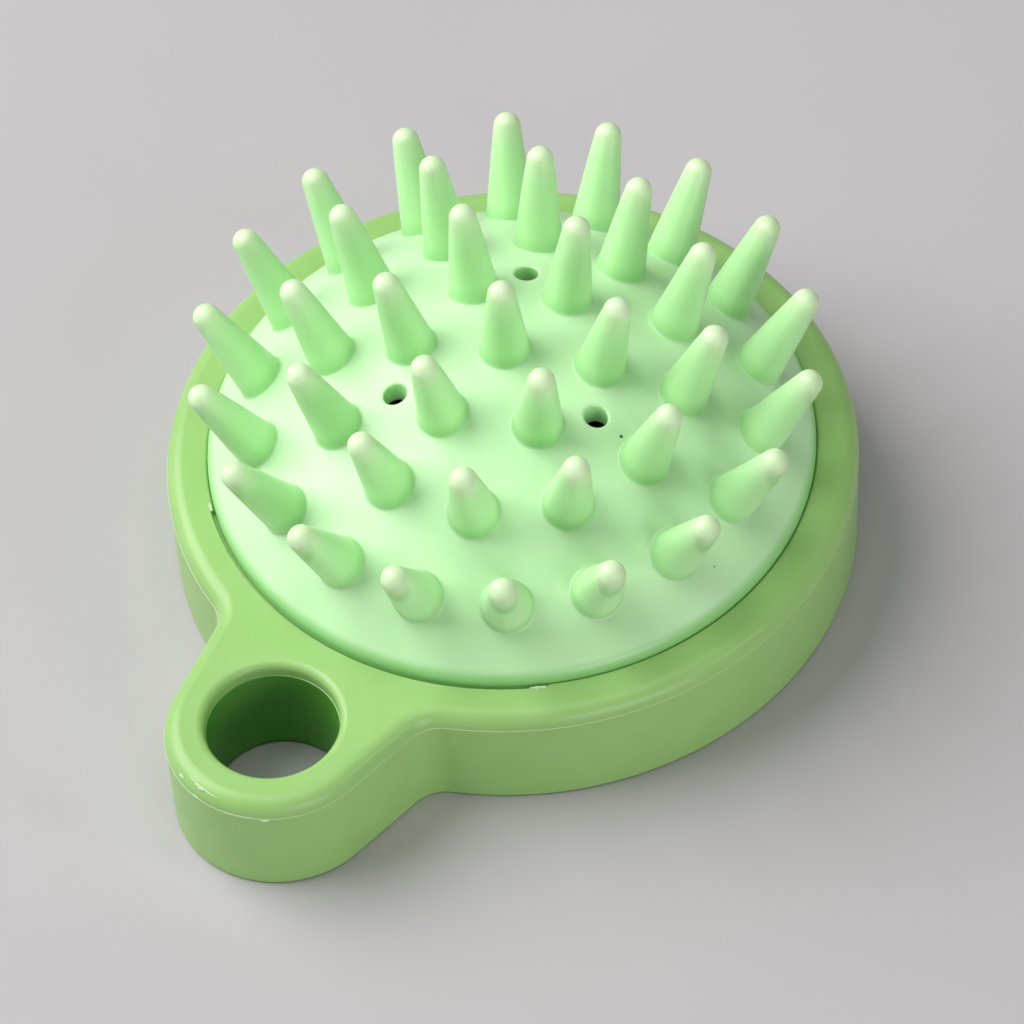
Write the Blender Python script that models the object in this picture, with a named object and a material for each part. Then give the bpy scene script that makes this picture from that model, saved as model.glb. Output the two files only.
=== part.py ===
"""Round scalp massager brush: a moulded frame with a hanging loop, a domed elastomer bristle pad, the
ring that clamps the pad's flange, and a palm-side cover that snaps into the frame.

Metres, +Z up. The origin is the centre of the disc on the plane that the brush lies on, and the loop
points along -Y. The bristles point up.
"""

import math
from collections import namedtuple

import bmesh
import bpy
from mathutils import Matrix, Vector

MM = 0.001

# Clearance left between neighbouring pieces.
GAP = 0.3 * MM

# Frame: the disc with its integral loop.
FRAME_RADIUS = 40.0 * MM
FRAME_HEIGHT = 14.5 * MM
FRAME_WALL = 2.4 * MM
DECK_WIDTH = 4.8 * MM
DECK_THICKNESS = 2.4 * MM
EDGE_ROUND = 2.0 * MM
FOOT_CHAMFER = 0.5 * MM

# How far the loop's centre stands beyond the disc's rim.
LOOP_STANDOFF = 7.2 * MM
LOOP_RADIUS = 12.1 * MM
LOOP_HOLE_RADIUS = 7.45 * MM
LOOP_HOLE_ROUND = 1.0 * MM
# The loop's sides spread by this angle towards the disc, and meet it in round inner corners.
NECK_SPREAD = math.radians(10.0)
NECK_FILLET = 4.5 * MM

# Shallow relief in the deck's inner edge, on the side of the loop.
RELIEF_DEPTH = 0.7 * MM
RELIEF_WIDTH = 0.5 * MM
RELIEF_HALF_ANGLE = math.radians(41.0)

# Bristle pad: a dome, a rolled edge that stands in the frame's opening, and a flange below the deck.
# The dome's sphere meets the pad's side at PAD_STEP above the deck.
PAD_STEP = 0.9 * MM
DOME_RISE = 15.5 * MM
PAD_WALL = 2.4 * MM
PAD_EDGE_ROUND = 2.0 * MM
FLANGE_THICKNESS = 1.6 * MM
PAD_TURN = math.radians(-96.0)

# Bristles stand in rings around the centre one. A ring's place is its share of the way along the
# dome from the centre to the outermost ring, and its lean is a share of the dome's slope there.
Ring = namedtuple("Ring", "count place length lean")
CENTRE_BRISTLE = Ring(count=1, place=0.0, length=11.0 * MM, lean=0.0)
BRISTLE_RINGS = (
    Ring(count=6, place=0.35, length=11.8 * MM, lean=0.97),
    Ring(count=12, place=0.67, length=12.5 * MM, lean=0.79),
    Ring(count=18, place=1.0, length=12.8 * MM, lean=0.79),
)
OUTER_RING_INSET = 8.3 * MM
BRISTLE_BASE_RADIUS = 3.0 * MM
BRISTLE_TIP_RADIUS = 1.5 * MM
# Over 1, a bristle's sides flare out towards its foot; at 1 they are straight.
BRISTLE_FLARE = 1.1
BRISTLE_ROOT = 1.2 * MM

VENT_COUNT = 3
VENT_RADIUS = 1.35 * MM
# Share of the way from the inner ring of bristles to the next one.
VENT_PLACE = 0.25

# Clamp ring: holds the flange up against the deck.
CLAMP_HEIGHT = 3.0 * MM

# Keys on the frame's inner wall stop the flange and the clamp ring from turning.
KEY_COUNT = 3
KEY_WIDTH = 3.0 * MM
KEY_DEPTH = 1.3 * MM

# Palm-side cover: a plate, a standing wall that backs the clamp ring, and snaps on that wall.
COVER_THICKNESS = 2.0 * MM
COVER_WALL = 1.6 * MM
COVER_CHAMFER = 0.4 * MM
SNAP_COUNT = 6
SNAP_ANGLE = math.radians(16.0)
SNAP_REACH = 0.8 * MM
SNAP_HEIGHT = 1.1 * MM
SNAP_LAND = 1.0 * MM
RIB_COUNT = 6
RIB_WIDTH = 1.2 * MM
RIB_HEIGHT = 2.0 * MM
RIB_HUB_RADIUS = 6.0 * MM
DRAIN_COUNT = 3
DRAIN_RADIUS = 1.6 * MM
DRAIN_PLACE = 20.0 * MM

# Facets.
TURN_STEPS = 64
DISC_STEPS = 56
LOOP_STEPS = 24
CORNER_STEPS = 6
ROUND_STEPS = 4
RELIEF_STEPS = 16
SNAP_STEPS = 4
BRISTLE_STEPS = 10
TIP_STEPS = 2
FLARE_STEPS = 3
PIN_STEPS = 12
DOME_STEPS = 9
HOLLOW_STEPS = 6
ROLL_STEPS = 3

# How far a cutter stands past what it cuts.
PAST = 1.0 * MM

# Sizes that follow from the ones above.
LOOP_DISTANCE = FRAME_RADIUS + LOOP_STANDOFF
OPENING_RADIUS = FRAME_RADIUS - DECK_WIDTH
INNER_WALL_RADIUS = FRAME_RADIUS - FRAME_WALL
PAD_RADIUS = OPENING_RADIUS - GAP
PAD_INNER_RADIUS = PAD_RADIUS - PAD_WALL
SEATED_RADIUS = INNER_WALL_RADIUS - GAP
DECK_UNDERSIDE = FRAME_HEIGHT - DECK_THICKNESS
FLANGE_TOP = DECK_UNDERSIDE - GAP
FLANGE_BOTTOM = FLANGE_TOP - FLANGE_THICKNESS
CLAMP_TOP = FLANGE_BOTTOM - GAP
CLAMP_BOTTOM = CLAMP_TOP - CLAMP_HEIGHT
COVER_WALL_TOP = CLAMP_BOTTOM - GAP
COVER_WALL_RADIUS = SEATED_RADIUS - SNAP_REACH
SNAP_TOP = COVER_WALL_TOP - SNAP_LAND
SNAP_BOTTOM = SNAP_TOP - SNAP_HEIGHT
DOME_TOP = FRAME_HEIGHT + PAD_STEP + DOME_RISE
DOME_RADIUS = (PAD_RADIUS**2 + DOME_RISE**2) / (2 * DOME_RISE)
DOME_CENTRE_Z = DOME_TOP - DOME_RADIUS
OUTER_RING_POLAR = math.asin(PAD_RADIUS / DOME_RADIUS) - OUTER_RING_INSET / DOME_RADIUS
LOOP_CENTRE = (0, -LOOP_DISTANCE)


def clear_scene():
    for item in list(bpy.data.objects):
        bpy.data.objects.remove(item)


def plastic(name, colour, roughness, coat):
    material = bpy.data.materials.new(name)
    material.use_nodes = True
    shader = material.node_tree.nodes["Principled BSDF"]
    shader.inputs["Base Color"].default_value = (*colour, 1)
    shader.inputs["Roughness"].default_value = roughness
    shader.inputs["Metallic"].default_value = 0
    shader.inputs["Coat Weight"].default_value = coat
    return material


def make_object(name, shape, material=None):
    """Turns a bmesh into an object of that name, with its faces pointing outwards."""
    bmesh.ops.remove_doubles(shape, verts=shape.verts, dist=0.001 * MM)
    bmesh.ops.recalc_face_normals(shape, faces=shape.faces)
    mesh = bpy.data.meshes.new(name)
    shape.to_mesh(mesh)
    shape.free()
    mesh.shade_smooth()
    mesh.set_sharp_from_angle(angle=math.radians(32))
    made = bpy.data.objects.new(name, mesh)
    bpy.context.scene.collection.objects.link(made)
    if material:
        mesh.materials.append(material)
    return made


def helper(name, shape):
    """An object that only cuts or adds to another, so it isn't part of the brush."""
    made = make_object(name, shape)
    made.hide_render = True
    made.display_type = "WIRE"
    return made


def boolean(target, other, operation="DIFFERENCE"):
    modifier = target.modifiers.new(other.name, "BOOLEAN")
    modifier.operation = operation
    modifier.solver = "EXACT"
    modifier.object = other


def arc(centre, radius, start, end, steps):
    """Points of an arc about centre, from angle start to angle end."""
    cx, cy = centre
    angles = [start + (end - start) * n / steps for n in range(steps + 1)]
    return [(cx + radius * math.cos(a), cy + radius * math.sin(a)) for a in angles]


def rounding(radius, steps):
    """(inset, rise) of the points of a quarter round, from its upright end to its level end."""
    return [(radius - x, y) for x, y in arc((0, 0), radius, 0, math.pi / 2, steps)]


def turned(profile, steps=TURN_STEPS, centre=(0, 0), angle=math.tau, start=0.0):
    """Spins an outline of (radius, height) points about a vertical axis at centre."""
    shape = bmesh.new()
    spin = Matrix.Rotation(start, 4, "Z")
    place = Matrix.Translation((*centre, 0))
    corners = [shape.verts.new(place @ spin @ Vector((r, 0, z))) for r, z in profile]
    edges = [shape.edges.new(pair) for pair in zip(corners, corners[1:] + corners[:1])]
    whole = angle == math.tau
    outline = corners + edges
    if not whole:
        outline.append(shape.faces.new(corners))
    bmesh.ops.spin(
        shape,
        geom=outline,
        cent=(*centre, 0),
        axis=(0, 0, 1),
        dvec=(0, 0, 0),
        angle=angle,
        steps=steps,
        use_merge=whole,
    )
    return shape


def stacked(outlines):
    """Joins outlines of equally many points, listed from the bottom up, and closes both ends."""
    shape = bmesh.new()
    rings = [[shape.verts.new(point) for point in outline] for outline in outlines]
    for lower, upper in zip(rings, rings[1:]):
        for n, corner in enumerate(lower):
            after = (n + 1) % len(lower)
            shape.faces.new((corner, lower[after], upper[after], upper[n]))
    shape.faces.new(rings[0][::-1])
    shape.faces.new(rings[-1])
    return shape


def box(width, depth, low, high):
    """A block centred on the Z axis, between two heights."""
    shape = bmesh.new()
    bmesh.ops.create_cube(shape, size=1)
    bmesh.ops.scale(shape, vec=(width, depth, high - low), verts=shape.verts)
    bmesh.ops.translate(shape, vec=(0, 0, (high + low) / 2), verts=shape.verts)
    return shape


def copies(shape, count, first=0.0, whole=None):
    """Repeats a shape evenly around the Z axis, the first one turned by first, and adds it to whole."""
    mesh = bpy.data.meshes.new("pattern")
    shape.to_mesh(mesh)
    shape.free()
    whole = whole or bmesh.new()
    for n in range(count):
        turned_mesh = mesh.copy()
        turned_mesh.transform(Matrix.Rotation(first + math.tau * n / count, 4, "Z"))
        whole.from_mesh(turned_mesh)
        bpy.data.meshes.remove(turned_mesh)
    bpy.data.meshes.remove(mesh)
    return whole


def neck_corner():
    """Centre of the round inner corner between the loop's right side and the disc."""
    reach = LOOP_RADIUS + NECK_FILLET
    side = Vector((math.cos(NECK_SPREAD), -math.sin(NECK_SPREAD)))
    along = Vector((math.sin(NECK_SPREAD), math.cos(NECK_SPREAD)))
    half = LOOP_DISTANCE * along.y
    start = LOOP_DISTANCE**2 + reach**2 - 2 * reach * LOOP_DISTANCE * side.y
    rest = start - (FRAME_RADIUS + NECK_FILLET) ** 2
    return Vector((0, -LOOP_DISTANCE)) + reach * side + (half - math.sqrt(half**2 - rest)) * along


def frame_outline(inset, height):
    """The disc and loop as one outline, with round inner corners, moved inwards by inset."""
    corner = neck_corner()
    swing = math.atan2(corner.x, -corner.y)
    radius = NECK_FILLET + inset
    quarter, half = math.pi / 2, math.pi
    disc = arc((0, 0), FRAME_RADIUS - inset, swing - quarter, half + quarter - swing, DISC_STEPS)
    points = disc[1:-1]
    points += arc((-corner.x, corner.y), radius, quarter - swing, NECK_SPREAD, CORNER_STEPS)
    loop_start, loop_end = half + NECK_SPREAD, math.tau - NECK_SPREAD
    points += arc(LOOP_CENTRE, LOOP_RADIUS - inset, loop_start, loop_end, LOOP_STEPS)
    points += arc(corner, radius, half - NECK_SPREAD, quarter + swing, CORNER_STEPS)
    return [(x, y, height) for x, y in points]


def frame_blank():
    """The frame's outside: chamfered foot, upright wall and rounded top edge."""
    levels = [(FOOT_CHAMFER, 0), (0, FOOT_CHAMFER)]
    low = FRAME_HEIGHT - EDGE_ROUND
    levels += [(inset, low + rise) for inset, rise in rounding(EDGE_ROUND, ROUND_STEPS)]
    return stacked([frame_outline(inset, height) for inset, height in levels])


def frame_hollow():
    """What is cut out for the pad, the clamp ring and the cover, with the groove for the snaps."""
    groove = INNER_WALL_RADIUS + SNAP_REACH
    profile = [
        (0, -PAST),
        (INNER_WALL_RADIUS, -PAST),
        (INNER_WALL_RADIUS, SNAP_BOTTOM - GAP),
        (groove, SNAP_BOTTOM - GAP),
        (groove, SNAP_TOP + GAP),
        (INNER_WALL_RADIUS, SNAP_TOP + GAP),
        (INNER_WALL_RADIUS, DECK_UNDERSIDE),
        (OPENING_RADIUS, DECK_UNDERSIDE),
        (OPENING_RADIUS, FRAME_HEIGHT + PAST),
        (0, FRAME_HEIGHT + PAST),
    ]
    return turned(profile)


def loop_hole():
    """The hanging hole, with a rounded top edge and a chamfered foot."""
    profile = [
        (0, -PAST),
        (LOOP_HOLE_RADIUS + FOOT_CHAMFER + PAST, -PAST),
        (LOOP_HOLE_RADIUS, FOOT_CHAMFER),
    ]
    low = FRAME_HEIGHT - LOOP_HOLE_ROUND
    for inset, rise in rounding(LOOP_HOLE_ROUND, ROUND_STEPS):
        profile.append((LOOP_HOLE_RADIUS + inset, low + rise))
    profile.append((LOOP_HOLE_RADIUS + LOOP_HOLE_ROUND, FRAME_HEIGHT + PAST))
    profile.append((0, FRAME_HEIGHT + PAST))
    return turned(profile, LOOP_STEPS, centre=LOOP_CENTRE)


def deck_relief():
    """A shallow step in the deck's inner edge, over the arc that faces the loop."""
    profile = [
        (OPENING_RADIUS - PAST, FRAME_HEIGHT - RELIEF_DEPTH),
        (OPENING_RADIUS + RELIEF_WIDTH, FRAME_HEIGHT - RELIEF_DEPTH),
        (OPENING_RADIUS + RELIEF_WIDTH, FRAME_HEIGHT + PAST),
        (OPENING_RADIUS - PAST, FRAME_HEIGHT + PAST),
    ]
    start = -math.pi / 2 - RELIEF_HALF_ANGLE
    return turned(profile, RELIEF_STEPS, angle=2 * RELIEF_HALF_ANGLE, start=start)


def keys(slack):
    """Upright keys against the frame's inner wall, or their clearance slots where slack isn't 0."""
    inner = INNER_WALL_RADIUS - KEY_DEPTH - slack
    outer = INNER_WALL_RADIUS + FRAME_WALL / 2
    low = CLAMP_BOTTOM if slack == 0 else CLAMP_BOTTOM - PAST
    shape = box(outer - inner, KEY_WIDTH + 2 * slack, low, DECK_UNDERSIDE + FRAME_WALL / 4)
    bmesh.ops.translate(shape, vec=((outer + inner) / 2, 0, 0), verts=shape.verts)
    return copies(shape, KEY_COUNT, math.pi / 2)


def make_frame(material):
    frame = make_object("frame", frame_blank(), material)
    boolean(frame, helper("frame_hollow", frame_hollow()))
    boolean(frame, helper("frame_keys", keys(0)), "UNION")
    boolean(frame, helper("loop_hole", loop_hole()))
    boolean(frame, helper("deck_relief", deck_relief()))
    return frame


def sphere_arc(radius, start, end, steps):
    """(radius, height) points on the dome's sphere, between two angles from the vertical."""
    angles = [start + (end - start) * n / steps for n in range(steps + 1)]
    return [(radius * math.sin(a), DOME_CENTRE_Z + radius * math.cos(a)) for a in angles]


def pad_profile():
    """Section through the pad: dome, rolled edge, flange, and the hollow side back to the centre."""
    roll_radius = PAD_RADIUS - PAD_EDGE_ROUND
    roll_polar = math.asin(roll_radius / (DOME_RADIUS - PAD_EDGE_ROUND))
    roll_height = DOME_CENTRE_Z + (DOME_RADIUS - PAD_EDGE_ROUND) * math.cos(roll_polar)
    profile = sphere_arc(DOME_RADIUS, 0, roll_polar, DOME_STEPS)
    for step in range(1, ROLL_STEPS + 1):
        polar = roll_polar + (math.pi / 2 - roll_polar) * step / ROLL_STEPS
        radius = roll_radius + PAD_EDGE_ROUND * math.sin(polar)
        profile.append((radius, roll_height + PAD_EDGE_ROUND * math.cos(polar)))
    profile += [
        (PAD_RADIUS, FLANGE_TOP),
        (SEATED_RADIUS, FLANGE_TOP),
        (SEATED_RADIUS, FLANGE_BOTTOM),
        (PAD_INNER_RADIUS, FLANGE_BOTTOM),
    ]
    inside = DOME_RADIUS - PAD_WALL
    inner_polar = math.asin(PAD_INNER_RADIUS / inside)
    return profile + sphere_arc(inside, inner_polar, 0, HOLLOW_STEPS)


def dome_height(radius):
    return DOME_CENTRE_Z + math.sqrt(DOME_RADIUS**2 - radius**2)


def ring_polar(ring):
    """Angle from the vertical at which a ring stands on the dome."""
    return OUTER_RING_POLAR * ring.place


def bristle(length):
    """A flared finger with a round tip, along +Z, whose root lies below the dome's surface."""
    shoulder = length - BRISTLE_TIP_RADIUS
    tip = arc((0, shoulder), BRISTLE_TIP_RADIUS, math.pi / 2, 0, TIP_STEPS)
    profile = [(0, length)] + tip[1:]
    for step in range(1, FLARE_STEPS + 1):
        share = step / FLARE_STEPS
        spread = (BRISTLE_BASE_RADIUS - BRISTLE_TIP_RADIUS) * share**BRISTLE_FLARE
        profile.append((BRISTLE_TIP_RADIUS + spread, shoulder * (1 - share)))
    profile += [(BRISTLE_BASE_RADIUS, -BRISTLE_ROOT), (0, -BRISTLE_ROOT)]
    return turned(profile, BRISTLE_STEPS)


def bristles():
    """All bristles in one bmesh: the centre one, and each ring's leaning outwards."""
    whole = bmesh.new()
    for ring in (CENTRE_BRISTLE, *BRISTLE_RINGS):
        polar = ring_polar(ring)
        foot = Vector((DOME_RADIUS * math.sin(polar), 0, DOME_CENTRE_Z + DOME_RADIUS * math.cos(polar)))
        shape = bristle(ring.length)
        shape.transform(Matrix.Translation(foot) @ Matrix.Rotation(ring.lean * polar, 4, "Y"))
        bmesh.ops.remove_doubles(shape, verts=shape.verts, dist=0.001 * MM)
        bmesh.ops.recalc_face_normals(shape, faces=shape.faces)
        copies(shape, ring.count, PAD_TURN, whole)
    return whole


def vents():
    """Upright pins that cut the air vents through the dome."""
    inner, outer = (ring_polar(ring) for ring in BRISTLE_RINGS[:2])
    polar = inner + (outer - inner) * VENT_PLACE
    radius = DOME_RADIUS * math.sin(polar)
    low = dome_height(radius + VENT_RADIUS) - 2 * PAD_WALL
    pin = turned(
        [(0, low), (VENT_RADIUS, low), (VENT_RADIUS, DOME_TOP + PAST), (0, DOME_TOP + PAST)], PIN_STEPS
    )
    bmesh.ops.remove_doubles(pin, verts=pin.verts, dist=0.001 * MM)
    bmesh.ops.translate(pin, vec=(radius, 0, 0), verts=pin.verts)
    return copies(pin, VENT_COUNT, PAD_TURN + math.pi / 2)


def make_bristle_pad(material):
    pad = make_object("bristle_pad", turned(pad_profile(), TURN_STEPS), material)
    boolean(pad, helper("bristles", bristles()), "UNION")
    boolean(pad, helper("vents", vents()))
    boolean(pad, helper("flange_slots", keys(GAP)))
    return pad


def make_clamp_ring(material):
    profile = [
        (PAD_INNER_RADIUS, CLAMP_BOTTOM),
        (SEATED_RADIUS, CLAMP_BOTTOM),
        (SEATED_RADIUS, CLAMP_TOP),
        (PAD_INNER_RADIUS, CLAMP_TOP),
    ]
    ring = make_object("clamp_ring", turned(profile), material)
    boolean(ring, helper("clamp_slots", keys(GAP)))
    return ring


def cover_body():
    """The cover's plate and standing wall."""
    profile = [
        (0, 0),
        (SEATED_RADIUS - COVER_CHAMFER, 0),
        (SEATED_RADIUS, COVER_CHAMFER),
        (SEATED_RADIUS, COVER_THICKNESS),
        (COVER_WALL_RADIUS, COVER_THICKNESS),
        (COVER_WALL_RADIUS, COVER_WALL_TOP),
        (COVER_WALL_RADIUS - COVER_WALL, COVER_WALL_TOP),
        (COVER_WALL_RADIUS - COVER_WALL, COVER_THICKNESS),
        (0, COVER_THICKNESS),
    ]
    return turned(profile)


def snaps():
    """Barbs on the outside of the standing wall, with a lead-in on their upper side."""
    root = COVER_WALL_RADIUS - COVER_WALL / 2
    tip = INNER_WALL_RADIUS + SNAP_REACH - GAP
    profile = [
        (root, SNAP_BOTTOM),
        (tip, SNAP_BOTTOM),
        (tip, (SNAP_BOTTOM + SNAP_TOP) / 2),
        (COVER_WALL_RADIUS, SNAP_TOP),
        (root, SNAP_TOP),
    ]
    shape = turned(profile, SNAP_STEPS, angle=SNAP_ANGLE, start=-SNAP_ANGLE / 2)
    return copies(shape, SNAP_COUNT, math.tau / SNAP_COUNT / 2)


def ribs():
    """Ribs that stiffen the plate, from a hub out into the standing wall."""
    reach = COVER_WALL_RADIUS - COVER_WALL / 2
    low, high = COVER_THICKNESS / 2, COVER_THICKNESS + RIB_HEIGHT
    shape = box(reach - RIB_HUB_RADIUS + COVER_WALL, RIB_WIDTH, low, high)
    middle = (reach + RIB_HUB_RADIUS - COVER_WALL) / 2
    bmesh.ops.translate(shape, vec=(middle, 0, 0), verts=shape.verts)
    return copies(shape, RIB_COUNT)


def rib_hub():
    low, high = COVER_THICKNESS / 2, COVER_THICKNESS + RIB_HEIGHT
    inner = RIB_HUB_RADIUS - COVER_WALL
    outer = RIB_HUB_RADIUS
    return turned([(inner, low), (outer, low), (outer, high), (inner, high)], LOOP_STEPS)


def drains():
    """Holes that let water out of the cover."""
    low, high = -PAST, COVER_THICKNESS + PAST
    pin = turned([(0, low), (DRAIN_RADIUS, low), (DRAIN_RADIUS, high), (0, high)], PIN_STEPS)
    bmesh.ops.translate(pin, vec=(DRAIN_PLACE, 0, 0), verts=pin.verts)
    return copies(pin, DRAIN_COUNT, math.pi / 6)


def make_back_cover(material):
    cover = make_object("back_cover", cover_body(), material)
    boolean(cover, helper("snaps", snaps()), "UNION")
    boolean(cover, helper("ribs", ribs()), "UNION")
    boolean(cover, helper("rib_hub", rib_hub()), "UNION")
    boolean(cover, helper("drains", drains()))
    return cover


def main():
    clear_scene()
    green = plastic("frame_green", (0.33, 0.60, 0.18), 0.35, 0.15)
    mint = plastic("pad_mint", (0.60, 0.90, 0.50), 0.45, 0.0)
    white = plastic("clamp_white", (0.80, 0.82, 0.78), 0.5, 0.0)
    make_frame(green)
    make_bristle_pad(mint)
    make_clamp_ring(white)
    make_back_cover(green)


main()
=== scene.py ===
"""Looks of a round scalp massager brush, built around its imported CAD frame.

Every piece is modelled in place, in metres and in the frame of the CAD model: +Z is up along the
bristles, and the hanging loop points along -Y.
"""

import logging
import math
from collections.abc import Callable, Sequence
from dataclasses import dataclass
from enum import Enum

import bmesh
import bpy
from mathutils import Matrix, Vector
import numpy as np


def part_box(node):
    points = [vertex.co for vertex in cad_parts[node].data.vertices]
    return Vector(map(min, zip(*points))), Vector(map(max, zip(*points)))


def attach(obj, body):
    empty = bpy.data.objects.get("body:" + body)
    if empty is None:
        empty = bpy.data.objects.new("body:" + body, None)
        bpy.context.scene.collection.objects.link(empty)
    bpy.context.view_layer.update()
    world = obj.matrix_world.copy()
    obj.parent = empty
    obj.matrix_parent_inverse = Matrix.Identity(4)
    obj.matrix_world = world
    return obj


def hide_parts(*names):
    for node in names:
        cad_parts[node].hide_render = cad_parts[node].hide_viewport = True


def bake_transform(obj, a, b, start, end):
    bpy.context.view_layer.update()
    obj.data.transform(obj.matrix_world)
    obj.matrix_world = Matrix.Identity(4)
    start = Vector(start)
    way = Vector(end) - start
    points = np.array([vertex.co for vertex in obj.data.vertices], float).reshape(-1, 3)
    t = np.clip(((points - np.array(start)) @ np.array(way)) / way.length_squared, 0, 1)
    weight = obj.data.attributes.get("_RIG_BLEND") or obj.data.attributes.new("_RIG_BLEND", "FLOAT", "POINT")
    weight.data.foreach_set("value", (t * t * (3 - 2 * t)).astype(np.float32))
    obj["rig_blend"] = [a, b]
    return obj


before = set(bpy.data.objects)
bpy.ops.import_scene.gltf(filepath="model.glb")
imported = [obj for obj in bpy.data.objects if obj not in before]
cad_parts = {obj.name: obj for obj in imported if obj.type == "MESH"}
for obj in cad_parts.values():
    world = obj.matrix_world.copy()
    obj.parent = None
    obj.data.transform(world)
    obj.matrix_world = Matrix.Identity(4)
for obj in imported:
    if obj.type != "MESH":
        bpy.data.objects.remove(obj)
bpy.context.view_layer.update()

LOG = logging.getLogger("scalp_brush")
MM = 0.001
WELD = 0.0005 * MM

Point = tuple[float, float]
Colour = tuple[float, float, float, float]


class Body(Enum):
    """The two bodies that the brush is made of."""

    SHELL = "shell"
    CUSHION = "cushion"


class Slot(Enum):
    """The record's material slots."""

    FRAME = "frame_green"
    PAD = "pad_mint"
    CLAMP = "clamp_white"
    COVER = "cover_green"


class Join(Enum):
    """The ways in which two solids are combined."""

    ADD = "UNION"
    CUT = "DIFFERENCE"


class Element(Enum):
    """What is selected in edit mode."""

    FACE = "FACE"
    EDGE = "EDGE"


def arc(centre: Point, radius: float, start: float, end: float, steps: int) -> list[Point]:
    """Works out the points of an arc.

    Args:
        centre: Middle of the arc.
        radius: Its radius.
        start: Angle of its first point, in radians.
        end: Angle of its last point, in radians.
        steps: Number of straight pieces it is drawn with.

    Returns:
        The points, both ends among them.
    """
    angles = [start + (end - start) * n / steps for n in range(steps + 1)]
    return [(centre[0] + radius * math.cos(a), centre[1] + radius * math.sin(a)) for a in angles]


def nearest(places: Sequence[Vector], goal: Vector) -> int:
    """Finds which of the places is nearest to a goal."""
    return min(range(len(places)), key=lambda number: (places[number] - goal).length)


def smooth_step(share: float) -> float:
    """Eases a share from 0 to 1, level at both ends.

    Args:
        share: Where it is; anything outside 0 to 1 counts as the nearer end.

    Returns:
        The eased share.
    """
    share = min(max(share, 0.0), 1.0)
    return share * share * (3 - 2 * share)


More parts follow.
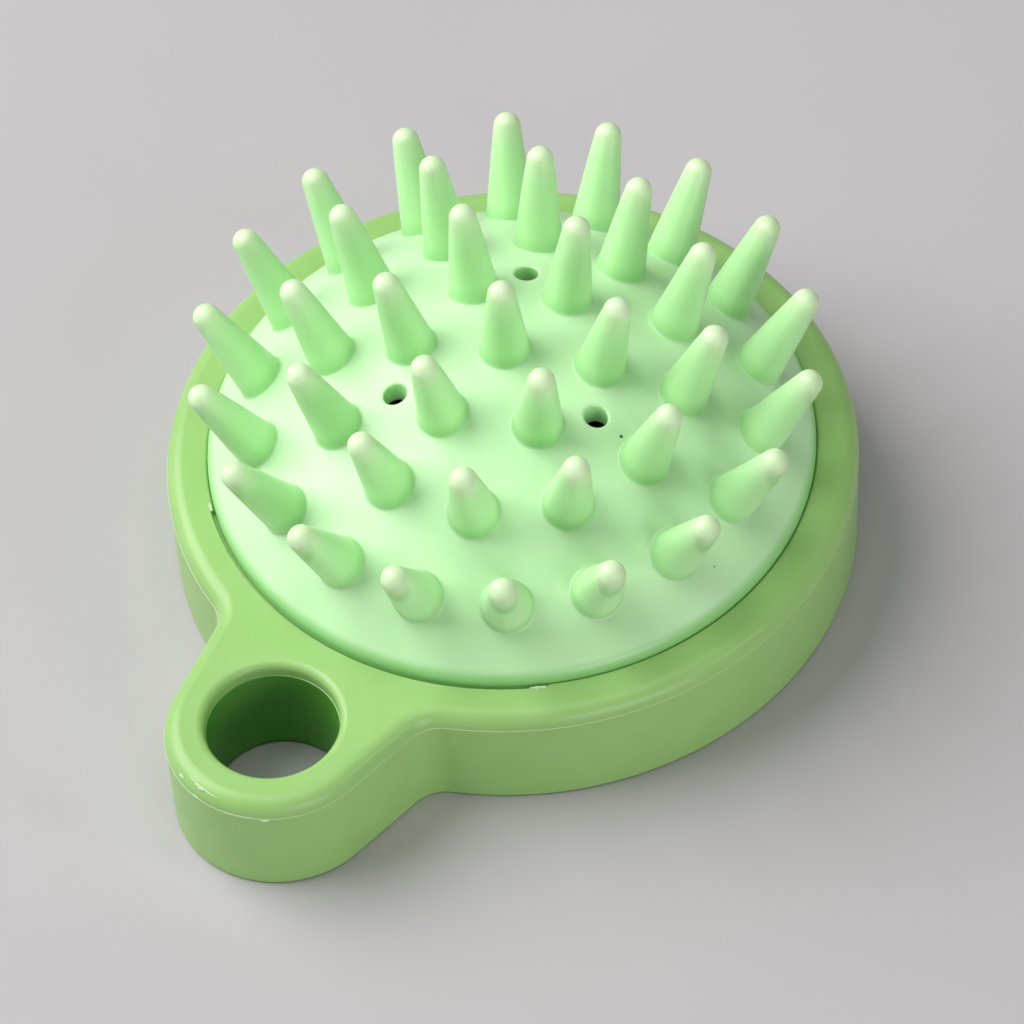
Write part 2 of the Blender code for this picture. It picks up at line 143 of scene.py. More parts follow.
class Bench:
    """The modelling steps that the pieces share, each done as by hand in the viewport."""

    @staticmethod
    def clear() -> None:
        """Leaves edit mode and deselects everything."""
        if bpy.context.object and bpy.context.object.mode == "EDIT":
            bpy.ops.object.mode_set(mode="OBJECT")
        bpy.ops.object.select_all(action="DESELECT")

    @staticmethod
    def take(piece: bpy.types.Object) -> None:
        """Makes one object the only selected and the active one.

        Args:
            piece: The object to work on.
        """
        Bench.clear()
        piece.select_set(True)
        bpy.context.view_layer.objects.active = piece

    @staticmethod
    def edit(piece: bpy.types.Object, pick: bool) -> None:
        """Opens an object in edit mode.

        Args:
            piece: The object to work on.
            pick: Whether all of it starts selected, or none.
        """
        Bench.take(piece)
        bpy.ops.object.mode_set(mode="EDIT")
        bpy.ops.mesh.select_all(action="SELECT" if pick else "DESELECT")

    @staticmethod
    def pick(piece: bpy.types.Object, kind: Element, test: Callable[[Vector], bool]) -> None:
        """Selects the faces or edges whose middle passes a test, in edit mode.

        Args:
            piece: The object that is open in edit mode.
            kind: Faces or edges.
            test: Tells from the middle whether the element is wanted.
        """
        bpy.ops.mesh.select_mode(type=kind.value)
        bpy.ops.mesh.select_all(action="DESELECT")
        shape = bmesh.from_edit_mesh(piece.data)
        if kind is Element.FACE:
            for face in shape.faces:
                face.select_set(test(face.calc_center_median()))
        else:
            for edge in shape.edges:
                edge.select_set(test((edge.verts[0].co + edge.verts[1].co) / 2))
        bmesh.update_edit_mesh(piece.data)

    @staticmethod
    def thread(name: str, points: Sequence[Vector], face: bool) -> bpy.types.Object:
        """Draws a closed outline by extruding one vertex from point to point.

        Args:
            name: Name of the new object.
            points: The outline's corners, in order.
            face: Whether the outline is filled, or only closed by its last edge.

        Returns:
            The new object, open in edit mode with all of it selected.
        """
        Bench.clear()
        bpy.ops.mesh.primitive_plane_add(size=MM)
        piece = bpy.context.object
        piece.name = piece.data.name = name
        bpy.ops.object.mode_set(mode="EDIT")
        bpy.ops.mesh.select_mode(type="VERT")
        bpy.ops.mesh.merge(type="CENTER")
        bpy.ops.transform.translate(value=points[0])
        for before, after in zip(points, points[1:]):
            bpy.ops.mesh.extrude_region_move(TRANSFORM_OT_translate={"value": after - before})
        shape = bmesh.from_edit_mesh(piece.data)
        shape.verts.ensure_lookup_table()
        bpy.ops.mesh.select_all(action="SELECT" if face else "DESELECT")
        if not face:
            shape.verts[0].select_set(True)
            shape.verts[-1].select_set(True)
        bmesh.update_edit_mesh(piece.data)
        bpy.ops.mesh.edge_face_add()
        bpy.ops.mesh.select_all(action="SELECT")
        return piece

    @staticmethod
    def lathe(
        name: str,
        profile: Sequence[Point],
        steps: int,
        angle: float = math.tau,
        start: float = 0.0,
        centre: Point = (0.0, 0.0),
    ) -> bpy.types.Object:
        """Spins a closed section about an upright axis.

        Args:
            name: Name of the new object.
            profile: The section's corners as (radius, height).
            steps: Number of facets round the axis.
            angle: How far it is spun, a full turn unless it is said.
            start: Angle from +X at which the spin starts.
            centre: Where the axis stands.

        Returns:
            The new object, closed, with its faces outwards.
        """
        spread = Vector((math.cos(start), math.sin(start), 0))
        foot = Vector((*centre, 0))
        points = [foot + spread * radius + Vector((0, 0, height)) for radius, height in profile]
        whole = math.isclose(angle, math.tau)
        piece = Bench.thread(name, points, face=not whole)
        bpy.ops.mesh.spin(steps=steps, angle=angle, center=foot, axis=(0, 0, -1))
        Bench.close(piece)
        return piece

    @staticmethod
    def close(piece: bpy.types.Object) -> None:
        """Merges doubles, clears loose edges, turns the faces outwards and leaves edit mode.

        Args:
            piece: The object that is open in edit mode. Not used.
        """
        bpy.ops.mesh.select_all(action="SELECT")
        bpy.ops.mesh.remove_doubles(threshold=WELD)
        bpy.ops.mesh.dissolve_degenerate(threshold=WELD)
        bpy.ops.mesh.select_all(action="SELECT")
        bpy.ops.mesh.delete_loose()
        bpy.ops.mesh.select_all(action="SELECT")
        bpy.ops.mesh.normals_make_consistent(inside=False)
        bpy.ops.object.mode_set(mode="OBJECT")

    @staticmethod
    def block(name: str, size: Vector, place: Vector, turn: float) -> bpy.types.Object:
        """Adds a box that is then turned about the Z axis of the brush.

        Args:
            name: Name of the new object.
            size: Its sides before the turn.
            place: Its middle before the turn.
            turn: Angle about the Z axis, in radians.

        Returns:
            The new object, with its place in its mesh.
        """
        Bench.clear()
        bpy.ops.mesh.primitive_cube_add(size=1)
        piece = bpy.context.object
        piece.name = piece.data.name = name
        piece.data.transform(
            Matrix.Rotation(turn, 4, "Z") @ Matrix.Translation(place) @ Matrix.Diagonal((*size, 1))
        )
        return piece

    @staticmethod
    def combine(target: bpy.types.Object, other: bpy.types.Object, join: Join) -> None:
        """Applies an exact Boolean and removes the other object.

        Args:
            target: The object that is changed.
            other: The object that is used up.
            join: Whether it is added or cut away.
        """
        Bench.take(target)
        modifier = target.modifiers.new("combine", "BOOLEAN")
        modifier.operation = join.value
        modifier.solver = "EXACT"
        modifier.object = other
        bpy.ops.object.modifier_apply(modifier=modifier.name)
        bpy.data.objects.remove(other)

    @staticmethod
    def combine_all(
        target: bpy.types.Object, maker: Callable[[int], bpy.types.Object], count: int, join: Join
    ) -> None:
        """Combines a piece with each of a row of objects in turn.

        Args:
            target: The object that is changed.
            maker: Makes the object of a number.
            count: How many there are.
            join: Whether they are added or cut away.
        """
        for number in range(count):
            Bench.combine(target, maker(number), join)

    @staticmethod
    def smooth(piece: bpy.types.Object, sharp_over: float) -> None:
        """Shades a piece smooth except at its sharp edges, with its flats kept flat.

        Args:
            piece: The object to shade.
            sharp_over: Angle in degrees over which an edge stays sharp.
        """
        Bench.take(piece)
        bpy.ops.object.shade_smooth_by_angle(angle=math.radians(sharp_over))
        modifier = piece.modifiers.new("flats", "WEIGHTED_NORMAL")
        modifier.keep_sharp = True
        bpy.ops.object.modifier_apply(modifier=modifier.name)

    @staticmethod
    def mark(piece: bpy.types.Object, name: str, value: Callable[[Vector], float]) -> None:
        """Stores a number on every vertex, worked out from its place, for the finish to read."""
        layer = piece.data.attributes.new(name, "FLOAT", "POINT")
        layer.data.foreach_set("value", [value(corner.co) for corner in piece.data.vertices])


class NodeBoard:
    """A material's node tree, with short calls that add and join nodes."""

    def __init__(self, name: str) -> None:
        """Starts a material with a Principled shader.

        Args:
            name: Name of the material.
        """
        self.material = bpy.data.materials.new(name)
        self.material.use_nodes = True
        self.tree = self.material.node_tree
        self.shader = self.tree.nodes["Principled BSDF"]
        self.place = self.add("ShaderNodeTexCoord").outputs["Object"]

    def add(self, kind: str, **settings: object) -> bpy.types.Node:
        """Adds a node.

        Args:
            kind: Blender's name for the node type.
            settings: Properties of the node.

        Returns:
            The new node.
        """
        node = self.tree.nodes.new(kind)
        for name, value in settings.items():
            setattr(node, name, value)
        return node

    def feed(self, socket: bpy.types.NodeSocket, value: object) -> None:
        """Joins an output to a socket, or sets the socket's own value.

        Args:
            socket: The input to fill.
            value: An output socket, a number or a colour.
        """
        if isinstance(value, bpy.types.NodeSocket):
            self.tree.links.new(value, socket)
        else:
            socket.default_value = value

    def set(self, **values: object) -> None:
        """Fills the shader's own sockets, whose names have _ for a space."""
        for name, value in values.items():
            self.feed(self.shader.inputs[name.replace("_", " ")], value)

    def noise(self, size: float, detail: float = 2.0, roughness: float = 0.5) -> bpy.types.NodeSocket:
        """Adds a noise whose features have a given size.

        Args:
            size: Rough size of its features, in metres.
            detail: How many finer layers it has.
            roughness: How strong the finer layers are.

        Returns:
            Its value, from 0 to 1.
        """
        node = self.add("ShaderNodeTexNoise")
        self.feed(node.inputs["Vector"], self.place)
        node.inputs["Scale"].default_value = 1 / size
        node.inputs["Detail"].default_value = detail
        node.inputs["Roughness"].default_value = roughness
        return node.outputs["Fac"]

    def attribute(self, name: str) -> bpy.types.NodeSocket:
        """Reads a number that the mesh carries under a name."""
        return self.add("ShaderNodeAttribute", attribute_name=name).outputs["Fac"]

    def math(self, operation: str, *values: object) -> bpy.types.NodeSocket:
        """Adds a Math node.

        Args:
            operation: What it does.
            values: Its one to three inputs.

        Returns:
            Its result.
        """
        node = self.add("ShaderNodeMath", operation=operation)
        for socket, value in zip(node.inputs, values):
            self.feed(socket, value)
        return node.outputs[0]

    def remap(self, value: object, low: float, high: float, start: float, end: float) -> bpy.types.NodeSocket:
        """Maps one range onto another, held at both ends.

        Args:
            value: What is mapped.
            low: Start of the range it is in.
            high: End of the range it is in.
            start: What low becomes.
            end: What high becomes.

        Returns:
            The mapped value.
        """
        node = self.add("ShaderNodeMapRange", interpolation_type="SMOOTHSTEP")
        for socket, number in zip(node.inputs, (value, low, high, start, end)):
            self.feed(socket, number)
        return node.outputs["Result"]

    def mix(self, share: object, first: object, second: object) -> bpy.types.NodeSocket:
        """Mixes two colours.

        Args:
            share: How much of the second there is.
            first: The first colour.
            second: The second colour.

        Returns:
            The mixed colour.
        """
        node = self.add("ShaderNodeMix", data_type="RGBA")
        colour_sockets = [socket for socket in node.inputs if socket.type == "RGBA"]
        self.feed(node.inputs[0], share)
        self.feed(colour_sockets[0], first)
        self.feed(colour_sockets[1], second)
        return next(socket for socket in node.outputs if socket.type == "RGBA")

    def bump(self, height: object, depth: float, under: object = None) -> bpy.types.NodeSocket:
        """Adds a bump to the surface.

        Args:
            height: What stands for the height, from 0 to 1.
            depth: Height in metres that 1 stands for.
            under: The bump that this one goes on, if any.

        Returns:
            The changed normal.
        """
        node = self.add("ShaderNodeBump")
        node.inputs["Distance"].default_value = depth
        self.feed(node.inputs["Height"], height)
        if under is not None:
            self.feed(node.inputs["Normal"], under)
        return node.outputs["Normal"]

    def spot(self, place: Sequence[float], size: float) -> bpy.types.NodeSocket:
        """Makes a round mask.

        Args:
            place: Middle of the spot.
            size: Radius of the spot.

        Returns:
            1 inside the spot and 0 outside.
        """
        away = self.add("ShaderNodeVectorMath", operation="DISTANCE")
        self.feed(away.inputs[0], self.place)
        away.inputs[1].default_value = place
        return self.remap(away.outputs["Value"], 0.5 * size, size, 1.0, 0.0)

    def from_axis(self) -> bpy.types.NodeSocket:
        """Measures how far the surface is from the brush's upright axis.

        Returns:
            The distance in metres.
        """
        flat = self.add("ShaderNodeVectorMath", operation="MULTIPLY")
        self.feed(flat.inputs[0], self.place)
        flat.inputs[1].default_value = (1, 1, 0)
        length = self.add("ShaderNodeVectorMath", operation="LENGTH")
        self.feed(length.inputs[0], flat.outputs[0])
        return length.outputs["Value"]


@dataclass(frozen=True)
class MouldedPlastic:
    """Hard pigmented plastic as it comes out of a mould.

    Reads two attributes: "worn" is over 0 where the plastic is stressed white, as at a mould's parting
    line, and "bore" is over 0 inside a narrow hole, where painted shade darkens the colour to a deep green.
    """

    name: str
    colour: Colour
    pale: Colour
    roughness: float
    grain: float
    grain_size: float
    glow: float = 0.12
    # Painted shade for the inside of a narrow hole.
    bore_shade_colour: Colour = (0.06, 0.28, 0.015, 1.0)
    cloud_size: float = 18 * MM
    cloud_shade: float = 0.965
    flow_size: float = 4 * MM
    flow_share: float = 0.045
    smear_size: float = 7 * MM
    wave_size: float = 5 * MM
    wave_depth: float = 0.02 * MM

    def material(self) -> bpy.types.Material:
        """Builds the material.

        Returns:
            The new material.
        """
        board = NodeBoard(self.name)
        clouds = board.remap(board.noise(self.cloud_size, 2.0), 0.3, 0.7, 0.0, 1.0)
        flow = board.remap(board.noise(self.flow_size, 3.0), 0.35, 0.7, 0.0, 1.0)
        shade = tuple(self.cloud_shade * part for part in self.colour[:3])
        colour = board.mix(clouds, (*shade, 1.0), self.colour)
        colour = board.mix(board.math("MULTIPLY", flow, self.flow_share), colour, self.pale)
        colour = board.mix(board.attribute("worn"), colour, self.pale)
        # Painted shade: the inside of the hanging hole is darkened to a deep green.
        colour = board.mix(board.attribute("painted_bore_shade"), colour, self.bore_shade_colour)
        smears = board.remap(board.noise(self.smear_size, 4.0, 0.6), 0.3, 0.75, -0.03, 0.05)
        roughness = board.math("ADD", smears, self.roughness)
        waves = board.bump(board.noise(self.wave_size, 1.0), self.wave_depth)
        skin = board.bump(board.noise(self.grain_size, 2.0, 0.6), self.grain, waves)
        board.set(
            Base_Color=colour,
            Roughness=roughness,
            Normal=skin,
            Metallic=0.0,
            IOR=1.5,
            Specular_IOR_Level=0.4,
            Coat_Weight=0.06,
            Coat_Roughness=0.25,
            Subsurface_Weight=self.glow,
            Subsurface_Radius=(0.8, 1.0, 0.4),
            Subsurface_Scale=1.5 * MM,
        )
        return board.material


@dataclass(frozen=True)
class SoftElastomer:
    """Satin, slightly see-through rubber of the bristle pad.

    Reads the attribute "along", which rises from 0 at a bristle's foot to 1 at its tip. Its colour holds
    painted shade: deeper greens up the shafts, round the feet and on the pad's edge beside the deck.
    """

    name: str
    colour: Colour
    shaft: Colour
    tip: Colour
    dirt: Colour
    specks: tuple[tuple[float, float, float], ...]
    speck_size: float
    roughness: float
    painted_crease_shade: Colour
    # Span from the axis over which the pad's edge gets painted shade.
    rim: tuple[float, float]
    cloud_size: float = 14 * MM
    cloud_shade: float = 0.95
    blotch_size: float = 1.6 * MM
    smear_size: float = 6 * MM
    ripple_size: float = 3.5 * MM
    ripple_depth: float = 0.035 * MM
    grain: float = 0.006 * MM
    grain_size: float = 0.35 * MM
    shaft_shade_from: Point = (0.0, 0.12)
    painted_crease_from: Point = (0.0, 0.015)
    painted_crease_to: Point = (0.02, 0.2)
    tip_from: Point = (0.62, 1.0)

    def material(self) -> bpy.types.Material:
        """Builds the material.

        Returns:
            The new material.
        """
        board = NodeBoard(self.name)
        along = board.attribute("along")
        clouds = board.remap(board.noise(self.cloud_size, 2.0), 0.3, 0.7, 0.0, 1.0)
        shade = tuple(self.cloud_shade * part for part in self.colour[:3])
        colour = board.mix(clouds, (*shade, 1.0), self.colour)
        # Painted shade: the bristles' shafts turn a deeper green than the dome.
        rise = board.remap(along, *self.shaft_shade_from, 0.0, 1.0)
        colour = board.mix(rise, colour, self.shaft)
        # Painted shade: a darker green in the crease round each bristle's foot.
        above = board.remap(along, *self.painted_crease_from, 0.0, 1.0)
        below = board.remap(along, *self.painted_crease_to, 0.5, 0.0)
        colour = board.mix(board.math("MULTIPLY", above, below), colour, self.painted_crease_shade)
        # Painted shade: the same darker green on the pad's rolled edge beside the deck.
        edge = board.remap(board.from_axis(), *self.rim, 0.0, 0.9)
        colour = board.mix(edge, colour, self.painted_crease_shade)
        blotches = board.remap(board.noise(self.blotch_size, 3.0), 0.3, 0.7, 0.75, 0.95)
        fade = board.math("MULTIPLY", board.remap(along, *self.tip_from, 0.0, 1.0), blotches)
        colour = board.mix(fade, colour, self.tip)
        for place in self.specks:
            colour = board.mix(board.spot(place, self.speck_size), colour, self.dirt)
        smears = board.remap(board.noise(self.smear_size, 3.0, 0.6), 0.3, 0.75, -0.05, 0.07)
        ripples = board.bump(board.noise(self.ripple_size, 1.5), self.ripple_depth)
        skin = board.bump(board.noise(self.grain_size, 2.0, 0.6), self.grain, ripples)
        board.set(
            Base_Color=colour,
            Roughness=board.math("ADD", smears, self.roughness),
            Normal=skin,
            Metallic=0.0,
            IOR=1.45,
            Subsurface_Weight=0.35,
            Subsurface_Radius=(0.7, 1.0, 0.5),
            Subsurface_Scale=1.4 * MM,
            Coat_Weight=0.15,
            Coat_Roughness=0.3,
        )
        return board.material


FRAME_FINISH = MouldedPlastic(
    name="moulded_green",
    colour=(0.33, 0.58, 0.18, 1.0),
    pale=(0.72, 0.90, 0.55, 1.0),
    roughness=0.36,
    grain=0.004 * MM,
    grain_size=0.5 * MM,
)
COVER_FINISH = MouldedPlastic(
    name="etched_green",
    colour=(0.33, 0.58, 0.18, 1.0),
    pale=(0.72, 0.90, 0.55, 1.0),
    roughness=0.5,
    grain=0.02 * MM,
    grain_size=0.25 * MM,
)
SLIVER_FINISH = MouldedPlastic(
    name="torn_flash",
    colour=(0.50, 0.74, 0.34, 1.0),
    pale=(0.80, 0.93, 0.68, 1.0),
    roughness=0.4,
    grain=0.01 * MM,
    grain_size=0.3 * MM,
    glow=0.2,
)
CLAMP_FINISH = MouldedPlastic(
    name="moulded_white",
    colour=(0.78, 0.80, 0.76, 1.0),
    pale=(0.90, 0.92, 0.90, 1.0),
    roughness=0.48,
    grain=0.008 * MM,
    grain_size=0.4 * MM,
)
PAD_FINISH = SoftElastomer(
    name="mint_elastomer",
    colour=(0.60, 0.92, 0.52, 1.0),
    # Painted shade: the deeper greens below darken the bristles' shafts, their feet and the pad's edge.
    shaft=(0.56, 0.91, 0.46, 1.0),
    tip=(0.73, 0.90, 0.58, 1.0),
    dirt=(0.05, 0.07, 0.04, 1.0),
    specks=(
        (31.4 * MM, -5.5 * MM, 18.4 * MM),
        (16.7 * MM, -1.6 * MM, 27.8 * MM),
        (26.8 * MM, -18.7 * MM, 23.2 * MM),
        (9.5 * MM, -22.6 * MM, 37.8 * MM),
        (18.1 * MM, -14.9 * MM, 30.5 * MM),
    ),
    speck_size=0.26 * MM,
    roughness=0.38,
    painted_crease_shade=(0.30, 0.68, 0.22, 1.0),
    rim=(34.2 * MM, 35.2 * MM),
)


@dataclass
class Piece:
    """What every modelled piece has: its name, the CAD node it stands for, its body, slot and finish."""

    name: str
    node: str
    slot: Slot
    finish: MouldedPlastic | SoftElastomer

    def model(self) -> bpy.types.Object:
        """Builds the piece's mesh; each kind of piece has its own way."""
        raise NotImplementedError

    def dress(self, piece: bpy.types.Object) -> None:
        """Gives the piece its finish and puts it in its CAD node's place.

        Args:
            piece: The finished mesh object.
        """
        piece.data.materials.clear()
        piece.data.materials.append(self.finish.material())
        if self.node:
            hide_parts(self.node)
        self.mount(piece)

    def mount(self, piece: bpy.types.Object) -> None:
        """Makes the piece move with the shell.

        Args:
            piece: The finished mesh object.
        """
        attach(piece, Body.SHELL.value)

    def build(self) -> bpy.types.Object:
        """Models and dresses the piece, and reports it.

        Returns:
            The finished object.
        """
        piece = self.model()
        self.dress(piece)
        faces = len(piece.data.polygons)
        LOG.info("%s: %d faces, stands for %s", piece.name, faces, self.node or "no node")
        return piece


@dataclass
class RingFrame(Piece):
    """The moulded disc with its hanging loop."""

    name: str = "ring_frame"
    node: str = "frame"
    slot: Slot = Slot.FRAME
    finish: MouldedPlastic = FRAME_FINISH
    wall: float = 2.4 * MM
    deck_width: float = 4.8 * MM
    deck_thickness: float = 2.4 * MM
    deck_edge: float = 0.35 * MM
    edge_round: float = 2.0 * MM
    foot_chamfer: float = 0.5 * MM
    loop_radius: float = 12.1 * MM
    hole_radius: float = 7.45 * MM
    hole_round: float = 1.0 * MM
    hole_ledge: float = 0.1 * MM
    ledge_drop: float = 1.9 * MM
    neck_spread: float = math.radians(10.0)
    neck_fillet: float = 4.5 * MM
    relief_depth: float = 0.7 * MM
    relief_width: float = 0.5 * MM
    relief_half_angle: float = math.radians(41.0)
    flash_width: float = 0.12 * MM
    flash_height: float = 0.05 * MM
    flash_taper: float = 0.6
    flash_white: float = 0.7
    hole_shade: float = 0.88
    key_count: int = 3
    key_width: float = 3.0 * MM
    key_depth: float = 1.3 * MM
    groove_depth: float = 0.8 * MM
    groove_low: float = 4.2 * MM
    groove_high: float = 5.9 * MM
    key_low: float = 6.9 * MM
    round_steps: int = 8
    foot_steps: int = 3
    disc_steps: int = 200
    loop_steps: int = 72
    corner_steps: int = 14
    sharp_over: float = 35

    def __post_init__(self) -> None:
        """Reads the overall sizes from the CAD node."""
        low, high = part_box(self.node)
        self.radius: float = high.x
        self.height: float = high.z
        self.loop_distance: float = -low.y - self.loop_radius
        self.inner_wall: float = self.radius - self.wall
        self.opening: float = self.radius - self.deck_width
        self.deck_underside: float = self.height - self.deck_thickness
        self.parting: float = self.height - self.edge_round

    def neck_corner(self) -> Vector:
        """Finds the centre of the round inner corner on the loop's right side.

        Returns:
            The centre, at height 0.
        """
        reach = self.loop_radius + self.neck_fillet
        side = Vector((math.cos(self.neck_spread), -math.sin(self.neck_spread), 0))
        along = Vector((math.sin(self.neck_spread), math.cos(self.neck_spread), 0))
        half = self.loop_distance * along.y
        start = self.loop_distance**2 + reach**2 - 2 * reach * self.loop_distance * side.y
        rest = start - (self.radius + self.neck_fillet) ** 2
        centre = Vector((0, -self.loop_distance, 0))
        return centre + reach * side + (half - math.sqrt(half**2 - rest)) * along

    def outline(self) -> list[Vector]:
        """Draws the disc and the loop as one outline with round inner corners.

        Returns:
            Its corners at height 0.
        """
        corner = self.neck_corner()
        swing = math.atan2(corner.x, -corner.y)
        quarter, half, spread = math.pi / 2, math.pi, self.neck_spread
        loop = (0.0, -self.loop_distance)
        points = arc((0, 0), self.radius, swing - quarter, half + quarter - swing, self.disc_steps)[1:-1]
        points += arc((-corner.x, corner.y), self.neck_fillet, quarter - swing, spread, self.corner_steps)
        points += arc(loop, self.loop_radius, half + spread, math.tau - spread, self.loop_steps)
        points += arc(corner.xy, self.neck_fillet, half - spread, quarter + swing, self.corner_steps)
        return [Vector((x, y, 0)) for x, y in points]

    def blank(self) -> bpy.types.Object:
        """Extrudes the outline into the solid blank, with its flash line, round top edge and chamfered foot.

        Returns:
            The blank.
        """
        piece = Bench.thread(self.name, self.outline(), face=True)
        below = self.parting - self.flash_width
        for rise in (below, self.flash_width, self.edge_round):
            bpy.ops.mesh.extrude_region_move(TRANSFORM_OT_translate={"value": (0, 0, rise)})
        bpy.ops.mesh.select_all(action="SELECT")
        bpy.ops.mesh.normals_make_consistent(inside=False)
        Bench.pick(piece, Element.EDGE, lambda middle: middle.z > self.height - WELD)
        self.bevel(self.edge_round, self.round_steps)
        Bench.pick(piece, Element.EDGE, lambda middle: middle.z < WELD)
        self.bevel(self.foot_chamfer, self.foot_steps)
        Bench.pick(piece, Element.FACE, lambda middle: below < middle.z < self.parting - WELD)
        outwards = {"value": self.flash_height}
        bpy.ops.mesh.extrude_region_shrink_fatten(TRANSFORM_OT_shrink_fatten=outwards)
        crest = (0, 0, self.parting - self.flash_width / 2)
        bpy.ops.transform.resize(value=(1, 1, self.flash_taper), center_override=crest)
        Bench.close(piece)
        return piece

    @staticmethod
    def bevel(width: float, segments: int) -> None:
        """Rounds the selected edges by a width, with a number of faces across."""
        bpy.ops.mesh.bevel(offset=width, segments=segments, affect="EDGES", clamp_overlap=False)

    def hollow(self) -> bpy.types.Object:
        """Makes the cutter for the pad's opening, the space inside and the snap groove.

        Returns:
            The cutter.
        """
        edge = self.deck_edge
        groove = self.inner_wall + self.groove_depth
        round_top = arc((self.opening + edge, self.height - edge), edge, math.pi, math.pi / 2, 4)
        profile = [
            (0, -MM),
            (self.inner_wall, -MM),
            (self.inner_wall, self.groove_low),
            (groove, self.groove_low),
            (groove, self.groove_high),
            (self.inner_wall, self.groove_high),
            (self.inner_wall, self.deck_underside),
            (self.opening, self.deck_underside),
            *round_top,
            (self.opening + edge, self.height + MM),
            (0, self.height + MM),
        ]
        return Bench.lathe("hollow", profile, 192)

    def hanging_hole(self) -> bpy.types.Object:
        """Makes the cutter for the loop's hole, with a round top edge that ends on a fine ledge.

        Returns:
            The cutter.
        """
        start = self.hole_radius + self.hole_ledge
        ledge = self.height - self.ledge_drop
        middle = (start + self.hole_round, self.height - self.hole_round)
        profile = [
            (0, -MM),
            (self.hole_radius + self.foot_chamfer + MM, -MM),
            (self.hole_radius, self.foot_chamfer),
            (self.hole_radius, ledge),
            (start, ledge + self.hole_ledge / 2),
            *arc(middle, self.hole_round, math.pi, math.pi / 2, self.round_steps),
            (start + self.hole_round, self.height + MM),
            (0, self.height + MM),
        ]
        return Bench.lathe("hanging_hole", profile, 80, centre=(0, -self.loop_distance))

    def relief(self) -> bpy.types.Object:
        """Makes the cutter for the shallow step in the deck's inner edge.

        Returns:
            The cutter.
        """
        inner, outer = self.opening - MM, self.opening + self.relief_width
        low, high = self.height - self.relief_depth, self.height + MM
        profile = [(inner, low), (outer, low), (outer, high), (inner, high)]
        start = -math.pi / 2 - self.relief_half_angle
        return Bench.lathe("relief", profile, 48, angle=2 * self.relief_half_angle, start=start)

    def key(self, number: int) -> bpy.types.Object:
        """Makes one of the keys that stop the pad's flange from turning.

        Args:
            number: Which of them.

        Returns:
            The key.
        """
        outer = self.inner_wall + self.wall / 2
        inner = self.inner_wall - self.key_depth
        low, high = self.key_low, self.deck_underside + self.deck_thickness / 4
        size = Vector((outer - inner, self.key_width, high - low))
        place = Vector(((outer + inner) / 2, 0, (low + high) / 2))
        return Bench.block("key", size, place, math.pi / 2 + math.tau * number / self.key_count)

    def whitening(self, place: Vector) -> float:
        """Says how white the plastic is at a place, which it is along the crest of the flash line.

        Args:
            place: A point on the frame.

        Returns:
            From 0 to 1.
        """
        middle = self.parting - self.flash_width / 2
        return self.flash_white if abs(place.z - middle) < 0.45 * self.flash_width else 0.0

    def inside_hole(self, place: Vector) -> float:
        """Says how much painted shade a place gets for being inside the hanging hole.

        Args:
            place: A point on the frame.

        Returns:
            0 outside the hole and above its ledge, and the hole's painted shade below it.
        """
        from_loop = Vector((place.x, place.y + self.loop_distance)).length
        low, high = self.foot_chamfer / 2, self.height - self.ledge_drop + WELD
        inside = from_loop < self.hole_radius + WELD and low < place.z < high
        return self.hole_shade if inside else 0.0

    def model(self) -> bpy.types.Object:
        """Builds the frame.

        Returns:
            The frame.
        """
        piece = self.blank()
        Bench.combine(piece, self.hollow(), Join.CUT)
        Bench.combine_all(piece, self.key, self.key_count, Join.ADD)
        Bench.combine(piece, self.hanging_hole(), Join.CUT)
        Bench.combine(piece, self.relief(), Join.CUT)
        Bench.mark(piece, "worn", self.whitening)
        # Painted shade: the hanging hole's walls are marked for a darker green.
        Bench.mark(piece, "painted_bore_shade", self.inside_hole)
        Bench.smooth(piece, self.sharp_over)
        return piece


@dataclass(frozen=True)
class Flake:
    """One sliver of torn flash: where it starts and ends, on the loop's or the disc's outline."""

    start: float
    end: float
    radius: float
    height: float
    thickness: float
    centre_y: float = 0.0


